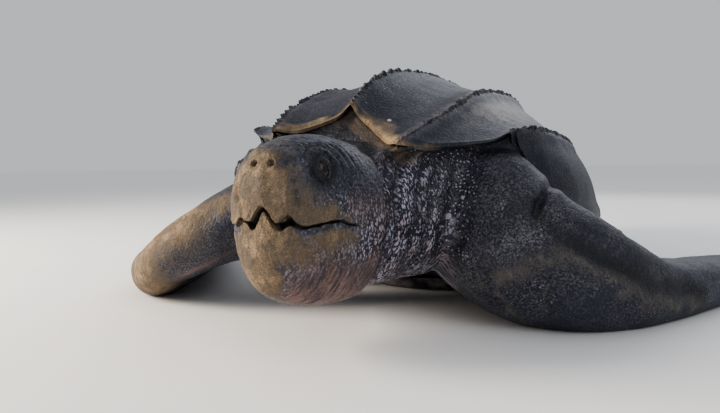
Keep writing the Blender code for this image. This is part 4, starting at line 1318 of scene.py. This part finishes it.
def shell_material():
    """Dark slate skin over bone, worn pale along the keels, sandy on the front edge."""
    n = Nodes("leatherback_shell")
    fine = n.noise(180.0, 5.0, 0.7)
    colour = n.blend(n.patches(7.0, 0.38, 0.70, 5.0, 0.6), (0.008, 0.0095, 0.018), (0.024, 0.027, 0.042))
    speck = n.ramp(n.cells(n.warp(n.place, 60.0, 0.004), 230.0), 0.40, 0.18)
    colour = n.over(colour, (0.11, 0.11, 0.14), speck, n.ramp(n.noise(9.0, 4.0), 0.40, 0.64, 0.05, 0.5))
    worn = n.times(n.ramp(n.attribute("keel"), 0.13, 0.0), n.patches(60.0, 0.40, 0.62, 4.0))
    colour = n.over(colour, (0.19, 0.175, 0.19), worn, 0.50)
    dot = n.ramp(n.cells(n.place, 110.0), 0.20, 0.09)
    colour = n.over(colour, (0.34, 0.33, 0.37), dot, n.ramp(n.noise(26.0), 0.53, 0.64, 0.0, 0.6))
    scuffs = n.ramp(n.streaks(n.place, (60.0, 14.0, 60.0), 5.0, 0.7), 0.54, 0.74)
    colour = n.over(colour, (0.13, 0.125, 0.15), scuffs, 0.18)
    marks = n.ramp(n.cells(n.warp(n.place, 120.0, 0.006), 11.0), 0.075, 0.05)
    colour = n.over(colour, (0.46, 0.44, 0.47), marks, n.patches(4.0, 0.5, 0.56))
    powder = n.streaks(n.place, (70.0, 24.0, 70.0), 6.0)
    dusty = n.ramp(n.math("ADD", n.times(n.attribute("dust"), 0.55), powder), 0.55, 1.20)
    colour = n.over(colour, (0.250, 0.215, 0.195), dusty, 0.75)
    colour, sand = add_sand(n, colour, n.attribute("rim"), (0.450, 0.315, 0.185))
    rough = n.mix_value(sand, n.ramp(fine, 0.3, 0.7, 0.40, 0.60), 0.9)
    normal = n.bump(fine, 0.0012, 0.6)
    normal = n.bump(n.ramp(n.cells(n.place, 85.0, "DISTANCE_TO_EDGE"), 0.0, 0.2), 0.0006, 0.4, normal)
    return n.finish(colour, rough, normal, Specular_IOR_Level=0.30, Coat_Weight=0.04, Coat_Roughness=0.30)


def eye_material():
    """A wet, dark brown eye with a small black pupil, and black-brown round the iris."""
    n = Nodes("wet_eye")
    axis = n.add("ShaderNodeSeparateXYZ", Vector=n.place).outputs["Z"]
    iris = n.streaks(n.place, (400.0, 400.0, 60.0), 3.0, 0.55)
    colour = n.blend(n.ramp(iris, 0.35, 0.65), (0.016, 0.010, 0.007), (0.042, 0.028, 0.018))
    colour = n.blend(n.ramp(axis, 0.0203, 0.0206), colour, (0.002, 0.002, 0.002))
    colour = n.blend(n.ramp(axis, 0.0150, 0.0140), colour, (0.012, 0.010, 0.010))
    normal = n.bump(n.noise(200.0), 0.0002, 0.2)
    return n.finish(colour, 0.16, normal, Coat_Weight=0.35, Coat_Roughness=0.05, Specular_IOR_Level=0.30)


def belly_material():
    """Dark and pale patches with fine pores."""
    n = Nodes("leatherback_belly")
    colour = n.blend(n.patches(14.0, 0.40, 0.60, 5.0, 0.65), (0.03, 0.03, 0.04), (0.22, 0.19, 0.19))
    normal = n.bump(n.cells(n.place, 90.0, "DISTANCE_TO_EDGE"), 0.0012, 0.6)
    return n.finish(colour, n.ramp(n.noise(60.0), 0.3, 0.7, 0.5, 0.7), normal)


def floor_material():
    n = Nodes("pale_floor")
    colour = n.blend(n.patches(3.0, 0.3, 0.7), (0.93, 0.92, 0.91), (0.95, 0.94, 0.93))
    return n.finish(colour, 0.8, n.bump(n.noise(400.0), 0.0003, 0.2))


# ==== studio

def add_studio():
    """A pale floor, soft lights and an even sky."""
    corners = FLOOR_REACH * np.array([(-1.0, -1, 0), (1, -1, 0), (1, 1, 0), (-1, 1, 0)])
    floor = new_object("floor", corners, [(0, 1, 2, 3)])
    floor.data.materials.append(floor_material())
    for name, place, target, size, power, colour in LIGHTS:
        data = bpy.data.lights.new(name, "AREA")
        data.size = size
        data.energy = power
        data.color = colour
        light = place_object(name, data)
        light.location = place
        light.rotation_euler = (Vector(target) - Vector(place)).to_track_quat("-Z", "Y").to_euler()
    world = bpy.data.worlds.new("studio")
    bpy.context.scene.world = world
    world.use_nodes = True
    background = world.node_tree.nodes["Background"]
    background.inputs["Color"].default_value = SKY_COLOUR
    background.inputs["Strength"].default_value = SKY_STRENGTH
    bpy.context.scene.view_settings.look = "AgX - Medium High Contrast"


def add_camera():
    data = bpy.data.cameras.new("camera")
    data.lens = CAMERA_LENS
    data.sensor_width = CAMERA_SENSOR
    camera = place_object("camera", data)
    turn = Matrix.Rotation(CAMERA_TURN, 4, "Z")
    level = Matrix.Rotation(math.pi / 2 - CAMERA_DIP, 4, "X")
    roll = Matrix.Rotation(CAMERA_ROLL, 4, "Z")
    camera.matrix_world = Matrix.Translation(CAMERA_PLACE) @ turn @ level @ roll
    bpy.context.scene.camera = camera


def finish_plastron():
    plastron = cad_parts["plastron"]
    plastron.data.materials.clear()
    plastron.data.materials.append(belly_material())


add_camera()
build_skin()
build_shell()
build_eyes()
finish_plastron()
add_studio()
